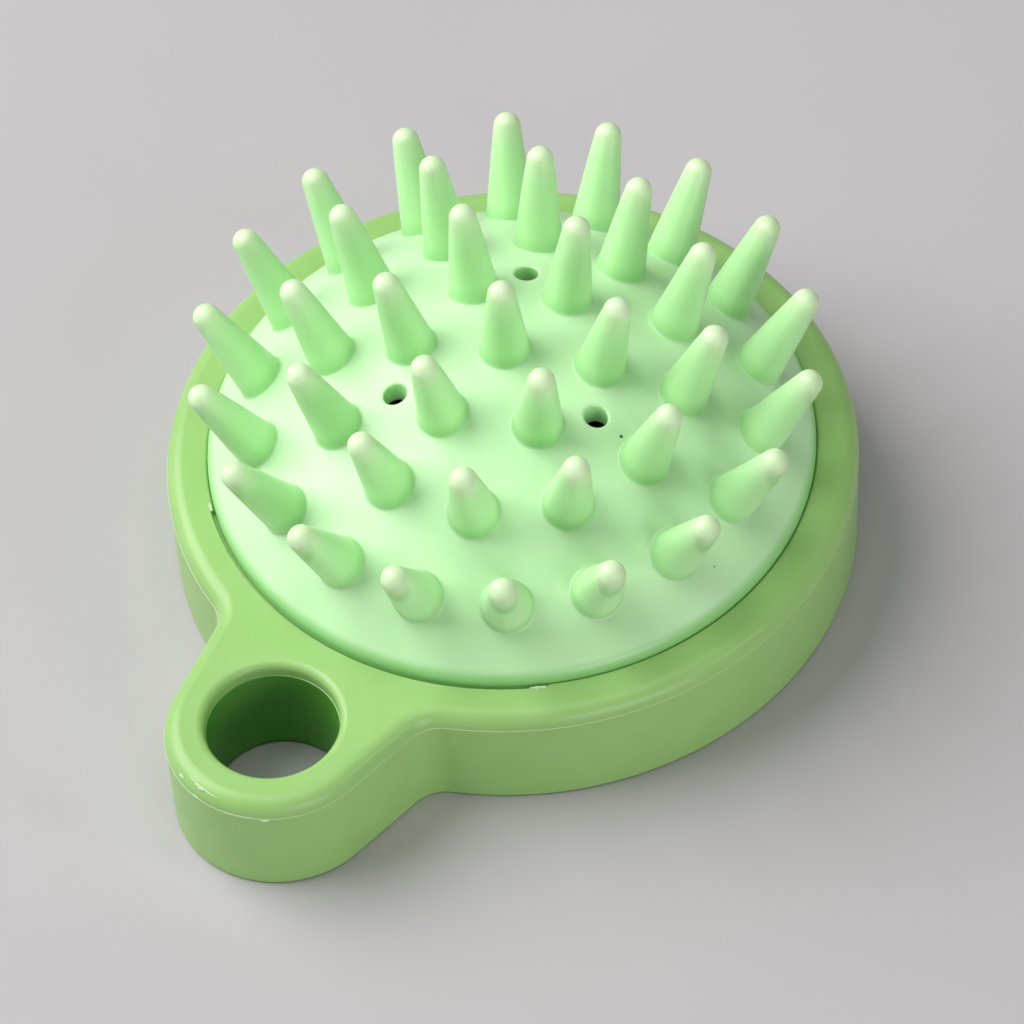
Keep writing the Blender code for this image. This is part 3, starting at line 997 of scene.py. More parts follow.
@dataclass
class FlashSlivers(Piece):
    """Slivers of torn flash that the mould left on the loop's rounded edge and beside the pad."""

    name: str = "flash_slivers"
    node: str = ""
    slot: Slot = Slot.FRAME
    finish: MouldedPlastic = SLIVER_FINISH
    loop_radius: float = RingFrame.loop_radius
    edge_round: float = RingFrame.edge_round
    opening: float = 35.2 * MM
    steps: int = 9
    sides: int = 6
    white: float = 0.75
    sharp_over: float = 50

    def on_edge(self, start: float, end: float, slope: float, thickness: float) -> Flake:
        """Places a sliver on the loop's rounded top edge.

        Args:
            start: Angle about the loop's centre at which it starts, in degrees.
            end: Angle at which it ends, in degrees.
            slope: Where it is on the rounding, from 0 at the parting line to 90 at the flat top.
            thickness: How thick it is in the middle.

        Returns:
            The sliver.
        """
        low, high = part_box("frame")
        rise = math.radians(slope)
        radius = self.loop_radius - self.edge_round * (1 - math.cos(rise))
        height = high.z - self.edge_round * (1 - math.sin(rise))
        centre_y = low.y + self.loop_radius
        return Flake(math.radians(start), math.radians(end), radius, height, thickness, centre_y)

    def flakes(self) -> list[Flake]:
        """Lists the slivers.

        Returns:
            The slivers.
        """
        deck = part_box("frame")[1].z
        beside_pad = [
            Flake(math.radians(-52.5), math.radians(-49.2), self.opening + 0.45 * MM, deck, 0.16 * MM),
            Flake(math.radians(-133.0), math.radians(-130.8), self.opening + 0.35 * MM, deck, 0.16 * MM),
        ]
        return [
            self.on_edge(-114, -110, 28, 0.14 * MM),
            self.on_edge(-107, -99, 49, 0.08 * MM),
            self.on_edge(-102, -92, 46, 0.13 * MM),
            self.on_edge(-99, -95, 42, 0.18 * MM),
            self.on_edge(-94, -85, 44, 0.08 * MM),
            self.on_edge(-101, -97, 2, 0.12 * MM),
            self.on_edge(-84, -60, 2, 0.07 * MM),
            self.on_edge(-61, -56, -5, 0.22 * MM),
            *beside_pad,
        ]

    def sliver(self, flake: Flake) -> bpy.types.Object:
        """Draws one sliver as a thread of rings that swell and thin out again, and closes its ends.

        Args:
            flake: The sliver's place and size.

        Returns:
            The sliver.
        """
        Bench.clear()
        bpy.ops.mesh.primitive_circle_add(vertices=self.sides, radius=1.0, fill_type="NGON")
        piece = bpy.context.object
        piece.name = "sliver"
        bpy.ops.object.mode_set(mode="EDIT")
        bpy.ops.mesh.select_mode(type="FACE")
        bpy.ops.mesh.select_all(action="SELECT")
        for step in range(self.steps + 1):
            share = step / self.steps
            angle = flake.start + (flake.end - flake.start) * share
            swell = flake.thickness * (0.25 + 0.75 * math.sin(math.pi * share) ** 0.6)
            ragged = 1 + 0.3 * math.sin(17 * share + 40 * flake.start)
            out = Vector((math.cos(angle), math.sin(angle), 0))
            place = Vector((0, flake.centre_y, flake.height)) + flake.radius * out
            if step:
                bpy.ops.mesh.extrude_region_move()
            shape = bmesh.from_edit_mesh(piece.data)
            ring = [vert for vert in shape.verts if vert.select]
            for number, vert in enumerate(ring):
                turn = math.tau * number / len(ring)
                across = swell * ragged * math.cos(turn) * out
                vert.co = place + across + Vector((0, 0, swell * math.sin(turn)))
            bmesh.update_edit_mesh(piece.data)
        Bench.close(piece)
        return piece

    def model(self) -> bpy.types.Object:
        """Builds the slivers as one object.

        Returns:
            The slivers.
        """
        slivers = [self.sliver(flake) for flake in self.flakes()]
        Bench.take(slivers[0])
        for sliver in slivers[1:]:
            sliver.select_set(True)
        bpy.ops.object.join()
        piece = slivers[0]
        piece.name = piece.data.name = self.name
        # Recalculated normals of threads as fine as these come out pointing inwards.
        Bench.edit(piece, pick=True)
        bpy.ops.mesh.flip_normals()
        bpy.ops.object.mode_set(mode="OBJECT")
        Bench.mark(piece, "worn", lambda place: self.white)
        Bench.smooth(piece, self.sharp_over)
        return piece


@dataclass(frozen=True)
class BristleRing:
    """One ring of bristles on the dome.

    Its place is its share of the way along the dome from the centre to the outermost ring, and its lean is a
    share of the dome's slope there.
    """

    count: int
    place: float
    length: float
    lean: float
    half_columns: int


@dataclass(frozen=True)
class Foot:
    """Where one bristle stands: the block of the dome's grid under it, and the bristle's line."""

    middle_column: int
    half_columns: int
    rows: tuple[int, int]
    polar: float
    turn: float
    length: float
    lean: float

    def disc(self, column: int, row: int, columns: int) -> Point | None:
        """Finds where a grid corner lies on the foot's disc.

        Args:
            column: The corner's column.
            row: The corner's row.
            columns: How many columns the dome has.

        Returns:
            Its place on the unit disc, along the columns and outwards, or None if it isn't on the foot.
        """
        low, high = self.rows
        if not low <= row <= high:
            return None
        if self.half_columns == 0:
            angle = math.tau * column / columns
            return (row / high * math.sin(angle), row / high * math.cos(angle))
        away = (column - self.middle_column + columns // 2) % columns - columns // 2
        if abs(away) > self.half_columns:
            return None
        x = away / self.half_columns
        y = 2 * (row - low) / (high - low) - 1
        return (x * math.sqrt(1 - y * y / 2), y * math.sqrt(1 - x * x / 2))


@dataclass(frozen=True)
class Stage:
    """One step of a bristle's rise: how high it is above the foot, and how wide."""

    height: float
    radius: float


@dataclass
class BristlePad(Piece):
    """The soft dome with its bristles, vents, rolled edge and flange, as one moulding."""

    name: str = "bristle_dome"
    node: str = "bristle_pad"
    slot: Slot = Slot.PAD
    finish: SoftElastomer = PAD_FINISH
    gap: float = 0.3 * MM
    rim_gap: float = 0.04 * MM
    deck_width: float = RingFrame.deck_width
    step: float = 0.9 * MM
    dome_rise: float = 15.5 * MM
    wall: float = 2.4 * MM
    edge_round: float = 2.0 * MM
    flange_thickness: float = 1.6 * MM
    lip: float = 0.3 * MM
    turn: float = math.radians(-96.0)
    centre_length: float = 11.0 * MM
    rings: tuple[BristleRing, ...] = (
        BristleRing(count=6, place=0.35, length=11.8 * MM, lean=0.97, half_columns=8),
        BristleRing(count=12, place=0.67, length=12.5 * MM, lean=0.79, half_columns=5),
        BristleRing(count=18, place=1.0, length=12.8 * MM, lean=0.79, half_columns=3),
    )
    outer_inset: float = 8.3 * MM
    base_radius: float = 2.9 * MM
    tip_radius: float = 1.58 * MM
    flare: float = 0.95
    foot_fillet: float = 0.38 * MM
    vent_count: int = 3
    vent_radius: float = 1.35 * MM
    vent_round: float = 0.35 * MM
    vent_place: float = 0.25
    vent_half_columns: int = 3
    columns: int = 144
    centre_rows: int = 6
    gap_rows: int = 3
    foot_rows: int = 12
    fillet_steps: int = 5
    shaft_steps: int = 7
    tip_steps: int = 5
    roll_steps: int = 10
    verge_rows: int = 4
    cap_angle: float = math.radians(30)
    sphere_slack: float = 0.01 * MM
    row_slack: float = 0.02 * MM
    sharp_over: float = 35
    key_count: int = RingFrame.key_count
    key_width: float = RingFrame.key_width
    key_depth: float = RingFrame.key_depth
    blend_low: float = 1.0 * MM
    blend_high: float = 6.5 * MM

    def __post_init__(self) -> None:
        """Works out the dome from the CAD nodes."""
        frame_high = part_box("frame")[1]
        pad_low, pad_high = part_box(self.node)
        self.deck: float = frame_high.z
        self.seated_radius: float = pad_high.x
        self.radius: float = frame_high.x - self.deck_width - self.rim_gap
        self.inner_radius: float = self.radius - self.wall
        self.flange_bottom: float = pad_low.z
        self.flange_top: float = pad_low.z + self.flange_thickness
        self.top: float = self.deck + self.step + self.dome_rise
        self.sphere: float = (self.radius**2 + self.dome_rise**2) / (2 * self.dome_rise)
        self.sphere_z: float = self.top - self.sphere
        self.outer_polar: float = math.asin(self.radius / self.sphere) - self.outer_inset / self.sphere
        self.foot_radius: float = self.base_radius + self.foot_fillet
        self.row_arcs: list[float] = self.grid_rows()

    def grid_rows(self) -> list[float]:
        """Lists the dome's grid rows as distances along the dome, so that bristles stand on whole rows.

        Returns:
            The distances, rising from 0.
        """
        reach = self.outer_polar * self.sphere
        spans = [(0.0, self.foot_radius, self.centre_rows)]
        for ring in self.rings:
            middle = reach * ring.place
            low = spans[-1][1]
            spans.append((low, middle - self.foot_radius, self.gap_rows))
            spans.append((middle - self.foot_radius, middle + self.foot_radius, self.foot_rows))
        rows = [0.0]
        for low, high, count in spans:
            rows += [low + (high - low) * n / count for n in range(1, count + 1)]
        return rows

    def section(self) -> list[Point]:
        """Draws the pad's section: dome, rolled edge, flange, and back along the hollow side.

        Returns:
            Its corners as (radius, height).
        """
        roll_radius = self.radius - self.edge_round
        roll_sphere = self.sphere - self.edge_round
        roll_polar = math.asin(roll_radius / roll_sphere)
        roll_z = self.sphere_z + roll_sphere * math.cos(roll_polar)
        polars = [distance / self.sphere for distance in self.row_arcs]
        verge, count = roll_polar - polars[-1], self.verge_rows
        polars += [polars[-1] + verge * n / count for n in range(1, count + 1)]
        outside = [(self.sphere * math.sin(p), self.sphere_z + self.sphere * math.cos(p)) for p in polars]
        roll = arc((roll_radius, roll_z), self.edge_round, math.pi / 2 - roll_polar, 0, self.roll_steps)[1:]
        flange = [
            (self.radius, self.flange_top),
            (self.seated_radius - self.lip, self.flange_top),
            (self.seated_radius, self.flange_top - self.lip),
            (self.seated_radius, self.flange_bottom + self.lip),
            (self.seated_radius - self.lip, self.flange_bottom),
            (self.inner_radius, self.flange_bottom),
        ]
        inside = self.sphere - self.wall
        last = math.asin(self.inner_radius / inside)
        inner_polars = [math.asin(r / inside) for r, _ in outside if r < self.inner_radius - MM] + [last]
        hollow = [(inside * math.sin(p), self.sphere_z + inside * math.cos(p)) for p in inner_polars]
        return outside + roll + flange + hollow[::-1]

    def feet(self) -> list[Foot]:
        """Lists the bristles' feet, the centre one first.

        Returns:
            The feet.
        """
        found = [Foot(0, 0, (0, self.centre_rows), 0.0, self.turn, self.centre_length, 0.0)]
        first_row = self.centre_rows
        for ring in self.rings:
            first_row += self.gap_rows
            rows = (first_row, first_row + self.foot_rows)
            for number in range(ring.count):
                column = self.columns * number // ring.count
                polar = self.outer_polar * ring.place
                turn = self.turn + math.tau * number / ring.count
                found.append(Foot(column, ring.half_columns, rows, polar, turn, ring.length, ring.lean))
            first_row += self.foot_rows
        return found

    def corner(self, foot: Foot, across: Point, stage: Stage) -> Vector:
        """Places one corner of a bristle.

        Args:
            foot: The bristle's foot.
            across: The corner's place on the unit disc.
            stage: How high and wide the bristle is there.

        Returns:
            The corner's place.
        """
        ease = smooth_step(stage.height / (2 * self.foot_fillet))
        tilt = foot.polar * (1 - ease * (1 - foot.lean))
        line = foot.polar * foot.lean
        outwards = Vector((math.cos(tilt), 0, -math.sin(tilt)))
        normal = Vector((math.sin(tilt), 0, math.cos(tilt)))
        base = Vector((self.sphere * math.sin(foot.polar), 0, self.sphere * math.cos(foot.polar)))
        base += stage.height * Vector((math.sin(line), 0, math.cos(line)))
        aside, out = (stage.radius * part for part in across)
        sag = (self.sphere - math.sqrt(self.sphere**2 - aside**2 - out**2)) * (1 - ease)
        place = base + out * outwards + Vector((0, aside, 0)) - sag * normal
        return Matrix.Rotation(foot.turn, 3, "Z") @ place + Vector((0, 0, self.sphere_z))

    def shaft(self, height: float, shoulder: float) -> float:
        """Works out a bristle's radius at a height below the shoulder, where its round tip starts."""
        spread = self.base_radius - self.tip_radius
        return self.tip_radius + spread * max(0.0, 1 - height / shoulder) ** self.flare

    def stages(self, length: float) -> list[Stage]:
        """Lists the steps of a bristle's rise: round foot, tapered shaft and round tip.

        Args:
            length: Length of the bristle.

        Returns:
            The steps above the foot, the widest first.
        """
        shoulder = length - self.tip_radius
        found = []
        for step in range(1, self.fillet_steps + 1):
            angle = math.pi / 2 * step / self.fillet_steps
            height = self.foot_fillet * (1 - math.cos(angle))
            flare = self.foot_fillet * (1 - math.sin(angle))
            found.append(Stage(height, self.shaft(height, shoulder) + flare))
        for step in range(1, self.shaft_steps + 1):
            height = self.foot_fillet + (shoulder - self.foot_fillet) * step / self.shaft_steps
            found.append(Stage(height, self.shaft(height, shoulder)))
        for step in range(1, self.tip_steps + 1):
            angle = (math.pi / 2 - self.cap_angle) * step / self.tip_steps
            found.append(self.tip_stage(shoulder, math.pi / 2 - angle))
        return found

    def tip_stage(self, shoulder: float, polar: float) -> Stage:
        """Works out a level of the tip over a shoulder, at an angle from the bristle's line."""
        return Stage(shoulder + self.tip_radius * math.cos(polar), self.tip_radius * math.sin(polar))

    def grid_place(self, place: Vector, sphere: float) -> tuple[int, int] | None:
        """Finds which corner of the dome's grid a vertex is.

        Args:
            place: Place of the vertex.
            sphere: Radius of the outside or the inside of the dome.

        Returns:
            Its column and row, or None if it isn't on that side of the dome.
        """
        from_middle = place - Vector((0, 0, self.sphere_z))
        if abs(from_middle.length - sphere) > self.sphere_slack:
            return None
        level = math.hypot(place.x, place.y)
        radii = [self.sphere * math.sin(distance / self.sphere) for distance in self.row_arcs]
        row = min(range(len(radii)), key=lambda n: abs(radii[n] - level))
        if abs(radii[row] - level) > self.row_slack:
            return None
        angle = math.atan2(place.y, place.x) - self.turn
        return round(angle / math.tau * self.columns) % self.columns, row

    def raise_bristles(self, piece: bpy.types.Object) -> None:
        """Rounds the feet's blocks of the grid and extrudes them all, step by step, into bristles.

        Args:
            piece: The pad, in object mode.
        """
        feet = self.feet()
        Bench.edit(piece, pick=False)
        bpy.ops.mesh.select_mode(type="FACE")
        shape = bmesh.from_edit_mesh(piece.data)
        owner = shape.verts.layers.int.new("owner")
        aside, out = (shape.verts.layers.float.new(name) for name in ("aside", "out"))
        shape.verts.layers.float.new("along")
        for vert in shape.verts:
            grid = self.grid_place(vert.co, self.sphere)
            if grid is None:
                continue
            for number, foot in enumerate(feet, 1):
                across = foot.disc(*grid, self.columns)
                if across is not None:
                    vert[owner], vert[aside], vert[out] = number, *across
                    break
        for face in shape.faces:
            owners = {vert[owner] for vert in face.verts}
            face.select_set(len(owners) == 1 and 0 not in owners)
        rises = [self.stages(foot.length) for foot in feet]
        self.shape_caps(piece, feet, lambda number, across: (across, Stage(0.0, self.foot_radius)))
        for step in range(len(rises[0])):
            bpy.ops.mesh.extrude_region_move()
            self.shape_caps(piece, feet, lambda number, across: (across, rises[number][step]))
        self.shape_caps(piece, feet, lambda number, across: self.cap(feet[number], across))
        bpy.ops.object.mode_set(mode="OBJECT")

    def cap(self, foot: Foot, across: Point) -> tuple[Point, Stage]:
        """Finds where a corner lies on the top of a bristle's round tip.

        Args:
            foot: The bristle's foot.
            across: The corner's place on the unit disc.

        Returns:
            Its direction on the unit circle, and its level.
        """
        share = math.hypot(*across)
        polar = share * self.cap_angle
        level = self.tip_stage(foot.length - self.tip_radius, polar)
        direction = (across[0] / share, across[1] / share) if share > WELD else (0.0, 0.0)
        return direction, level

    def shape_caps(
        self,
        piece: bpy.types.Object,
        feet: list[Foot],
        rule: Callable[[int, Point], tuple[Point, Stage]],
    ) -> None:
        """Moves the corners of the selected caps.

        Args:
            piece: The pad, in edit mode.
            feet: The bristles' feet.
            rule: Gives, for a foot's number and a place on its disc, the place and the level to go to.
        """
        shape = bmesh.from_edit_mesh(piece.data)
        owner = shape.verts.layers.int["owner"]
        aside, out = (shape.verts.layers.float[name] for name in ("aside", "out"))
        along = shape.verts.layers.float["along"]
        for vert in shape.verts:
            if vert.select and vert[owner]:
                number = vert[owner] - 1
                across, stage = rule(number, (vert[aside], vert[out]))
                vert.co = self.corner(feet[number], across, stage)
                vert[along] = stage.height / feet[number].length
        bmesh.update_edit_mesh(piece.data)

    def vent_foot(self, number: int) -> Foot:
        """Finds the block of the grid that becomes a vent.

        Args:
            number: Which of the vents.

        Returns:
            The block, with the vent's place.
        """
        inner, outer = self.rings[0].place, self.rings[1].place
        polar = self.outer_polar * (inner + (outer - inner) * self.vent_place)
        quarter = self.columns // 4
        column = (quarter + self.columns * number // self.vent_count) % self.columns
        turn = self.turn + math.pi / 2 + math.tau * number / self.vent_count
        distance = polar * self.sphere
        reach = self.vent_radius + self.vent_round
        low = max(n for n, arc_length in enumerate(self.row_arcs) if arc_length < distance - reach)
        high = min(n for n, arc_length in enumerate(self.row_arcs) if arc_length > distance + reach)
        return Foot(column, self.vent_half_columns, (low, high), polar, turn, 0.0, 0.0)

    def open_vent(self, piece: bpy.types.Object, vent: Foot) -> None:
        """Rounds a block of the grid on both sides of the dome, opens it and bridges the two rims.

        Args:
            piece: The pad, in object mode.
            vent: The vent's block and place.
        """
        Bench.edit(piece, pick=False)
        bpy.ops.mesh.select_mode(type="FACE")
        middle = self.sphere * math.sin(vent.polar) * Vector((math.cos(vent.turn), math.sin(vent.turn)))
        spin = Matrix.Rotation(vent.turn, 2)
        inside = self.sphere - self.wall
        mouth = []
        for step in range(self.fillet_steps + 1):
            angle = math.pi / 2 * step / self.fillet_steps
            mouth.append((self.vent_round * (1 - math.sin(angle)), self.vent_round * (1 - math.cos(angle))))
        for sphere, rounds in ((self.sphere, mouth), (inside, mouth[-1:])):
            shape = bmesh.from_edit_mesh(piece.data)
            block = {}
            for vert in shape.verts:
                grid = self.grid_place(vert.co, sphere)
                across = grid and vent.disc(*grid, self.columns)
                if across:
                    block[vert.index] = across
            for face in shape.faces:
                face.select_set(all(vert.index in block for vert in face.verts))
            bmesh.update_edit_mesh(piece.data)
            for number, (spread, drop) in enumerate(rounds):
                if number:
                    bpy.ops.mesh.extrude_region_move()
                shape = bmesh.from_edit_mesh(piece.data)
                chosen = [vert for vert in shape.verts if vert.select]
                if number:
                    places = [places[nearest(old, vert.co)] for vert in chosen]
                else:
                    places = [block[vert.index] for vert in chosen]
                for vert, (aside, out) in zip(chosen, places):
                    flat = middle + (self.vent_radius + spread) * (spin @ Vector((out, aside)))
                    level = self.sphere_z + math.sqrt(sphere**2 - flat.length_squared)
                    vert.co = (*flat, level - drop)
                old = [vert.co.copy() for vert in chosen]
                bmesh.update_edit_mesh(piece.data)
            bpy.ops.mesh.delete(type="FACE")
        shape = bmesh.from_edit_mesh(piece.data)
        bpy.ops.mesh.select_mode(type="EDGE")
        for edge in shape.edges:
            edge.select_set(edge.is_boundary)
        bmesh.update_edit_mesh(piece.data)
        bpy.ops.mesh.bridge_edge_loops()
        bpy.ops.object.mode_set(mode="OBJECT")

    def model(self) -> bpy.types.Object:
        """Builds the pad.

        Returns:
            The pad.
        """
        piece = Bench.lathe(self.name, self.section(), self.columns, start=self.turn)
        for number in range(self.vent_count):
            self.open_vent(piece, self.vent_foot(number))
        self.raise_bristles(piece)
        for name in ("owner", "aside", "out"):
            piece.data.attributes.remove(piece.data.attributes[name])
        Bench.edit(piece, pick=True)
        bpy.ops.mesh.normals_make_consistent(inside=False)
        bpy.ops.object.mode_set(mode="OBJECT")
        Bench.combine_all(piece, self.slot_cutter, self.key_count, Join.CUT)
        Bench.smooth(piece, self.sharp_over)
        return piece

    def slot_cutter(self, number: int) -> bpy.types.Object:
        """Makes the cutter for one of the slots that pass the frame's keys.

        Args:
            number: Which of them.

        Returns:
            The cutter.
        """
        inner = self.seated_radius - self.key_depth
        outer = self.seated_radius + MM
        low, high = self.flange_bottom - MM, self.flange_top + MM
        size = Vector((outer - inner, self.key_width + 2 * self.gap, high - low))
        place = Vector(((outer + inner) / 2, 0, (low + high) / 2))
        return Bench.block("slot", size, place, math.pi / 2 + math.tau * number / self.key_count)

    def mount(self, piece: bpy.types.Object) -> None:
        """Holds the rim in the shell and lets the dome go down with the cushion.

        Args:
            piece: The pad.
        """
        low, high = self.deck + self.blend_low, self.deck + self.blend_high
        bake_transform(piece, Body.SHELL.value, Body.CUSHION.value, start=(0, 0, low), end=(0, 0, high))


@dataclass
class ClampBand(Piece):
    """The ring inside that holds the pad's flange up against the deck."""

    name: str = "clamp_band"
    node: str = "clamp_ring"
    slot: Slot = Slot.CLAMP
    finish: MouldedPlastic = CLAMP_FINISH
    inner_radius: float = 32.5 * MM
    chamfer: float = 0.35 * MM
    gap: float = BristlePad.gap
    key_count: int = RingFrame.key_count
    key_width: float = RingFrame.key_width
    key_depth: float = RingFrame.key_depth
    steps: int = 160
    sharp_over: float = 30

    def model(self) -> bpy.types.Object:
        """Builds the ring with its chamfered edges and key slots.

        Returns:
            The ring.
        """
        low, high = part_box(self.node)
        outer, edge = high.x, self.chamfer
        profile = [
            (self.inner_radius + edge, low.z),
            (outer - edge, low.z),
            (outer, low.z + edge),
            (outer, high.z - edge),
            (outer - edge, high.z),
            (self.inner_radius + edge, high.z),
            (self.inner_radius, high.z - edge),
            (self.inner_radius, low.z + edge),
        ]
        piece = Bench.lathe(self.name, profile, self.steps)
        inner = outer - self.key_depth
        size = Vector((outer + MM - inner, self.key_width + 2 * self.gap, 2 * (high.z - low.z)))
        place = Vector(((outer + MM + inner) / 2, 0, (low.z + high.z) / 2))
        for number in range(self.key_count):
            turn = math.pi / 2 + math.tau * number / self.key_count
            Bench.combine(piece, Bench.block("slot", size, place, turn), Join.CUT)
        Bench.smooth(piece, self.sharp_over)
        return piece


@dataclass
class PalmCover(Piece):
    """The palm-side cover: plate, standing wall with snaps, ribs, hub and drain holes."""

    name: str = "palm_cover"
    node: str = "back_cover"
    slot: Slot = Slot.COVER
    finish: MouldedPlastic = COVER_FINISH
    thickness: float = 2.0 * MM
    wall: float = 1.6 * MM
    chamfer: float = 0.4 * MM
    snap_count: int = 6
    snap_angle: float = math.radians(16.0)
    snap_reach: float = 0.8 * MM
    snap_height: float = 1.1 * MM
    snap_land: float = 1.0 * MM
    rib_count: int = 6
    rib_width: float = 1.2 * MM
    rib_height: float = 2.0 * MM
    hub_radius: float = 6.0 * MM
    hub_land: float = 0.1 * MM
    hub_root: float = 0.8 * MM
    drain_count: int = 3
    drain_radius: float = 1.6 * MM
    drain_place: float = 20.0 * MM
    gate_radius: float = 1.6 * MM
    gate_depth: float = 0.3 * MM
    edge_chamfer: float = 0.3 * MM
    steps: int = 160
    sharp_over: float = 30

    def __post_init__(self) -> None:
        """Reads the cover's height and seat from the CAD nodes."""
        self.top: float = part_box(self.node)[1].z
        self.seat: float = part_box("clamp_ring")[1].x
        self.wall_radius: float = self.seat - self.snap_reach

    def plate(self) -> bpy.types.Object:
        """Turns the plate and the standing wall, with the gate's dimple in the middle.

        Returns:
            The plate.
        """
        outer, inner = self.wall_radius, self.wall_radius - self.wall
        edge = self.edge_chamfer
        profile = [
            (0, self.gate_depth),
            (self.gate_radius - self.gate_depth, self.gate_depth),
            (self.gate_radius, 0),
            *arc((self.seat - self.chamfer, self.chamfer), self.chamfer, -math.pi / 2, 0, 4),
            (self.seat, self.thickness - edge),
            (self.seat - edge, self.thickness),
            (outer, self.thickness),
            (outer, self.top - edge),
            (outer - edge, self.top),
            (inner + edge, self.top),
            (inner, self.top - edge),
            (inner, self.thickness + edge),
            (inner - edge, self.thickness),
            (0, self.thickness),
        ]
        return Bench.lathe(self.name, profile, self.steps)

    def snap(self, number: int) -> bpy.types.Object:
        """Makes one snap barb on the standing wall.

        Args:
            number: Which of them.

        Returns:
            The barb.
        """
        high = self.top - self.snap_land
        low = high - self.snap_height
        root = self.wall_radius - self.wall / 2
        tip = self.seat + self.snap_reach
        middle = (low + high) / 2
        profile = [(root, low), (tip, low), (tip, middle), (self.wall_radius, high), (root, high)]
        start = math.tau * (number + 0.5) / self.snap_count - self.snap_angle / 2
        return Bench.lathe("snap", profile, 10, angle=self.snap_angle, start=start)

    def rib(self, number: int) -> bpy.types.Object:
        """Makes one rib from the hub to the standing wall.

        Args:
            number: Which of them.

        Returns:
            The rib.
        """
        start, end = self.hub_radius - self.wall / 2, self.wall_radius - self.wall / 2
        low, high = self.thickness / 2, self.thickness + self.rib_height
        size = Vector((end - start, self.rib_width, high - low))
        place = Vector(((start + end) / 2, 0, (low + high) / 2))
        return Bench.block("rib", size, place, math.tau * number / self.rib_count)

    def hub(self) -> bpy.types.Object:
        """Makes the round hub that the ribs meet.

        Returns:
            The hub.
        """
        low, high = self.hub_root, self.thickness + self.rib_height + self.hub_land
        inner, outer = self.hub_radius - self.wall, self.hub_radius
        # Four corners alone are left open, so the first one comes again at the end.
        profile = [(inner, low), (outer, low), (outer, high), (inner, high), (inner, low)]
        return Bench.lathe("hub", profile, 64)

    def drain(self, number: int) -> bpy.types.Object:
        """Makes the cutter for one drain hole, with its chamfered mouth.

        Args:
            number: Which of them.

        Returns:
            The cutter.
        """
        turn = math.pi / 6 + math.tau * number / self.drain_count
        centre = (self.drain_place * math.cos(turn), self.drain_place * math.sin(turn))
        radius, edge = self.drain_radius, self.chamfer
        profile = [
            (0, -MM),
            (radius + edge + MM, -MM),
            (radius, edge),
            (radius, self.thickness + MM),
            (0, self.thickness + MM),
        ]
        return Bench.lathe("drain", profile, 40, centre=centre)

    def model(self) -> bpy.types.Object:
        """Builds the cover.

        Returns:
            The cover.
        """
        piece = self.plate()
        Bench.combine_all(piece, self.snap, self.snap_count, Join.ADD)
        Bench.combine_all(piece, self.rib, self.rib_count, Join.ADD)
        Bench.combine(piece, self.hub(), Join.ADD)
        Bench.combine_all(piece, self.drain, self.drain_count, Join.CUT)
        Bench.edit(piece, pick=False)
        Bench.close(piece)
        Bench.smooth(piece, self.sharp_over)
        return piece


@dataclass(frozen=True)
class SoftBox:
    """A soft studio light that looks at the brush."""

    name: str
    side: float
    depth: float
    rise: float
    distance: float
    size: float
    power: float

    def hang(self, view: "Viewpoint") -> None:
        """Hangs the light.

        Args:
            view: The camera's viewpoint: side is to its right, depth is away from it.
        """
        right, _, forward = view.axes()
        level = Vector((forward.x, forward.y, 0)).normalized()
        aside = Vector((right.x, right.y, 0)).normalized()
        direction = (self.side * aside + self.depth * level + Vector((0, 0, self.rise))).normalized()
        data = bpy.data.lights.new(self.name, "AREA")
        data.shape = "DISK"
        data.size = self.size
        data.energy = self.power
        lamp = bpy.data.objects.new(self.name, data)
        lamp.location = direction * self.distance
        lamp.rotation_euler = direction.to_track_quat("Z", "Y").to_euler()
        bpy.context.scene.collection.objects.link(lamp)


@dataclass(frozen=True)
class Viewpoint:
    """Where the studio camera stands, seen from the brush's origin, and its lens."""

    elevation: float = 51.28
    heading: float = 37.4
    roll: float = -3.99
    distance: float = 606.5 * MM
    lens: float = 181.3
    shift_x: float = -0.0048
    shift_y: float = 0.0077
    sensor: float = 36
    nearest_seen: float = 10 * MM

    def axes(self) -> tuple[Vector, Vector, Vector]:
        """Works out the camera's axes.

        Returns:
            Its right, up and forward directions.
        """
        turn = Matrix.Rotation(math.radians(self.heading), 3, "Z")
        rise, lean = math.radians(self.elevation), math.radians(self.roll)
        forward = turn @ Vector((0, math.cos(rise), -math.sin(rise)))
        level = turn @ Vector((1, 0, 0))
        up = level.cross(forward)
        right = math.cos(lean) * level + math.sin(lean) * up
        return right, math.cos(lean) * up - math.sin(lean) * level, forward

    def set_camera(self) -> None:
        """Makes the camera and puts it in charge."""
        right, up, forward = self.axes()
        data = bpy.data.cameras.new("studio_camera")
        data.sensor_width = self.sensor
        data.lens = self.lens
        data.shift_x = self.shift_x
        data.shift_y = self.shift_y
        data.clip_start = self.nearest_seen
        camera = bpy.data.objects.new("studio_camera", data)
        placed = Matrix((right, up, -forward)).transposed().to_4x4()
        placed.translation = -forward * self.distance
        camera.matrix_world = placed
        bpy.context.scene.collection.objects.link(camera)
        bpy.context.scene.camera = camera


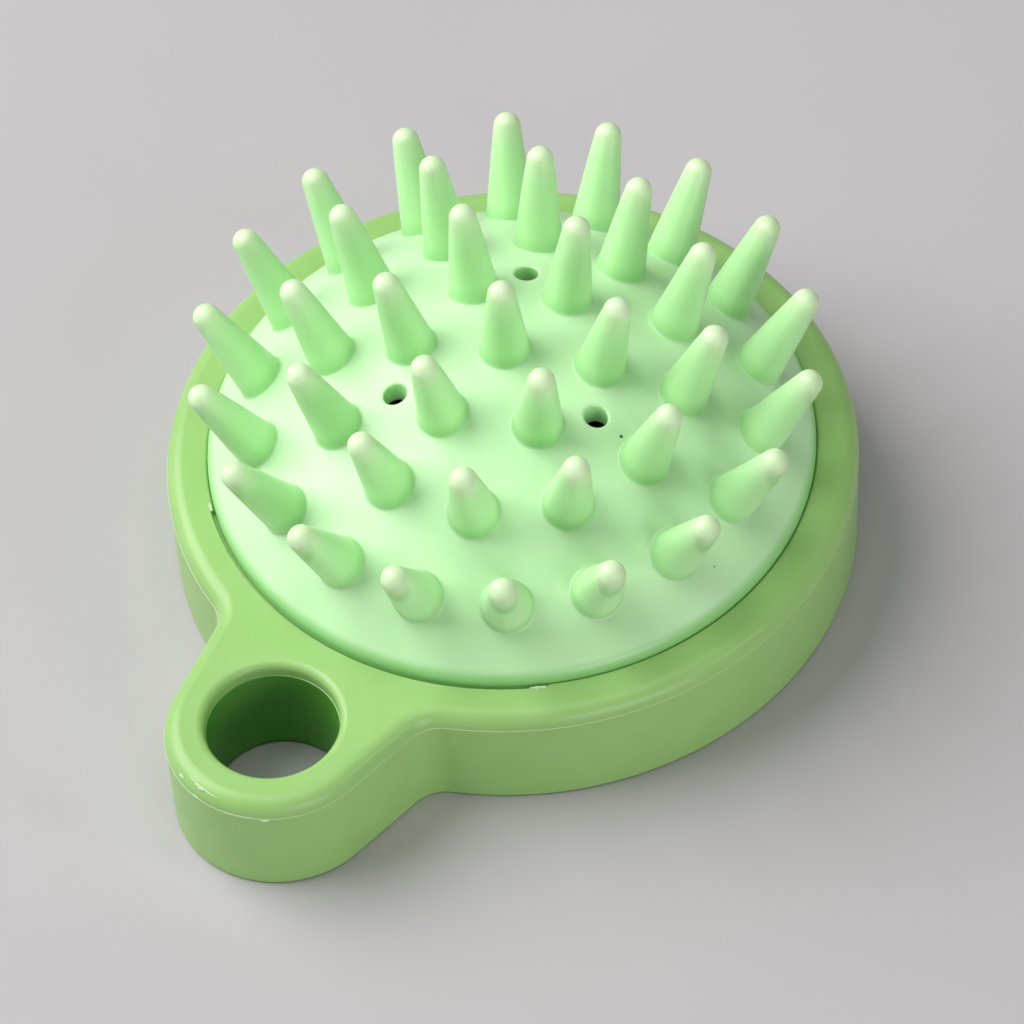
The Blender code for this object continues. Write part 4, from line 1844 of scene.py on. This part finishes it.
@dataclass(frozen=True)
class Studio:
    """The plain pale floor, the soft lights and the camera."""

    view: Viewpoint = Viewpoint()
    floor_size: float = 4.0
    floor_colour: Colour = (0.50, 0.48, 0.49, 1.0)
    floor_shade: float = 0.98
    floor_clouds: float = 60 * MM
    floor_grain: float = 1.5 * MM
    grain_depth: float = 0.03 * MM
    sky: Colour = (0.95, 0.97, 1.0, 1.0)
    sky_strength: float = 0.06
    lights: tuple[SoftBox, ...] = (
        SoftBox("key", side=-0.70, depth=0.22, rise=0.78, distance=0.9, size=0.95, power=11.3),
        SoftBox("overhead", side=0.1, depth=-0.12, rise=1.0, distance=1.0, size=0.7, power=2.0),
        SoftBox("low_fill", side=0.5, depth=-1.0, rise=0.2, distance=0.9, size=0.5, power=3.0),
        SoftBox("rim", side=0.92, depth=-0.42, rise=0.55, distance=1.0, size=0.22, power=0.8),
    )

    def lay_floor(self) -> None:
        """Lays the floor under the brush."""
        Bench.clear()
        bpy.ops.mesh.primitive_plane_add(size=self.floor_size)
        floor = bpy.context.object
        floor.name = floor.data.name = "floor"
        board = NodeBoard("pale_floor")
        clouds = board.remap(board.noise(self.floor_clouds, 4.0, 0.6), 0.3, 0.7, 0.0, 1.0)
        shade = tuple(self.floor_shade * part for part in self.floor_colour[:3])
        grain = board.bump(board.noise(self.floor_grain, 4.0, 0.6), self.grain_depth)
        colour = board.mix(clouds, (*shade, 1.0), self.floor_colour)
        board.set(Base_Color=colour, Roughness=0.75, Normal=grain)
        floor.data.materials.append(board.material)

    def light(self) -> None:
        """Hangs the lights and sets the sky's even light."""
        for lamp in self.lights:
            lamp.hang(self.view)
        world = bpy.data.worlds.new("studio")
        world.use_nodes = True
        background = world.node_tree.nodes["Background"]
        background.inputs["Color"].default_value = self.sky
        background.inputs["Strength"].default_value = self.sky_strength
        bpy.context.scene.world = world

    def build(self) -> None:
        """Sets up the studio."""
        self.view.set_camera()
        self.light()
        self.lay_floor()
        bpy.context.scene.view_settings.view_transform = "Standard"


def main() -> None:
    """Builds the studio and every piece of the brush."""
    logging.basicConfig(level=logging.INFO, format="%(name)s: %(message)s")
    Studio().build()
    for piece in (RingFrame(), FlashSlivers(), BristlePad(), ClampBand(), PalmCover()):
        piece.build()


if __name__ == "__main__":
    main()
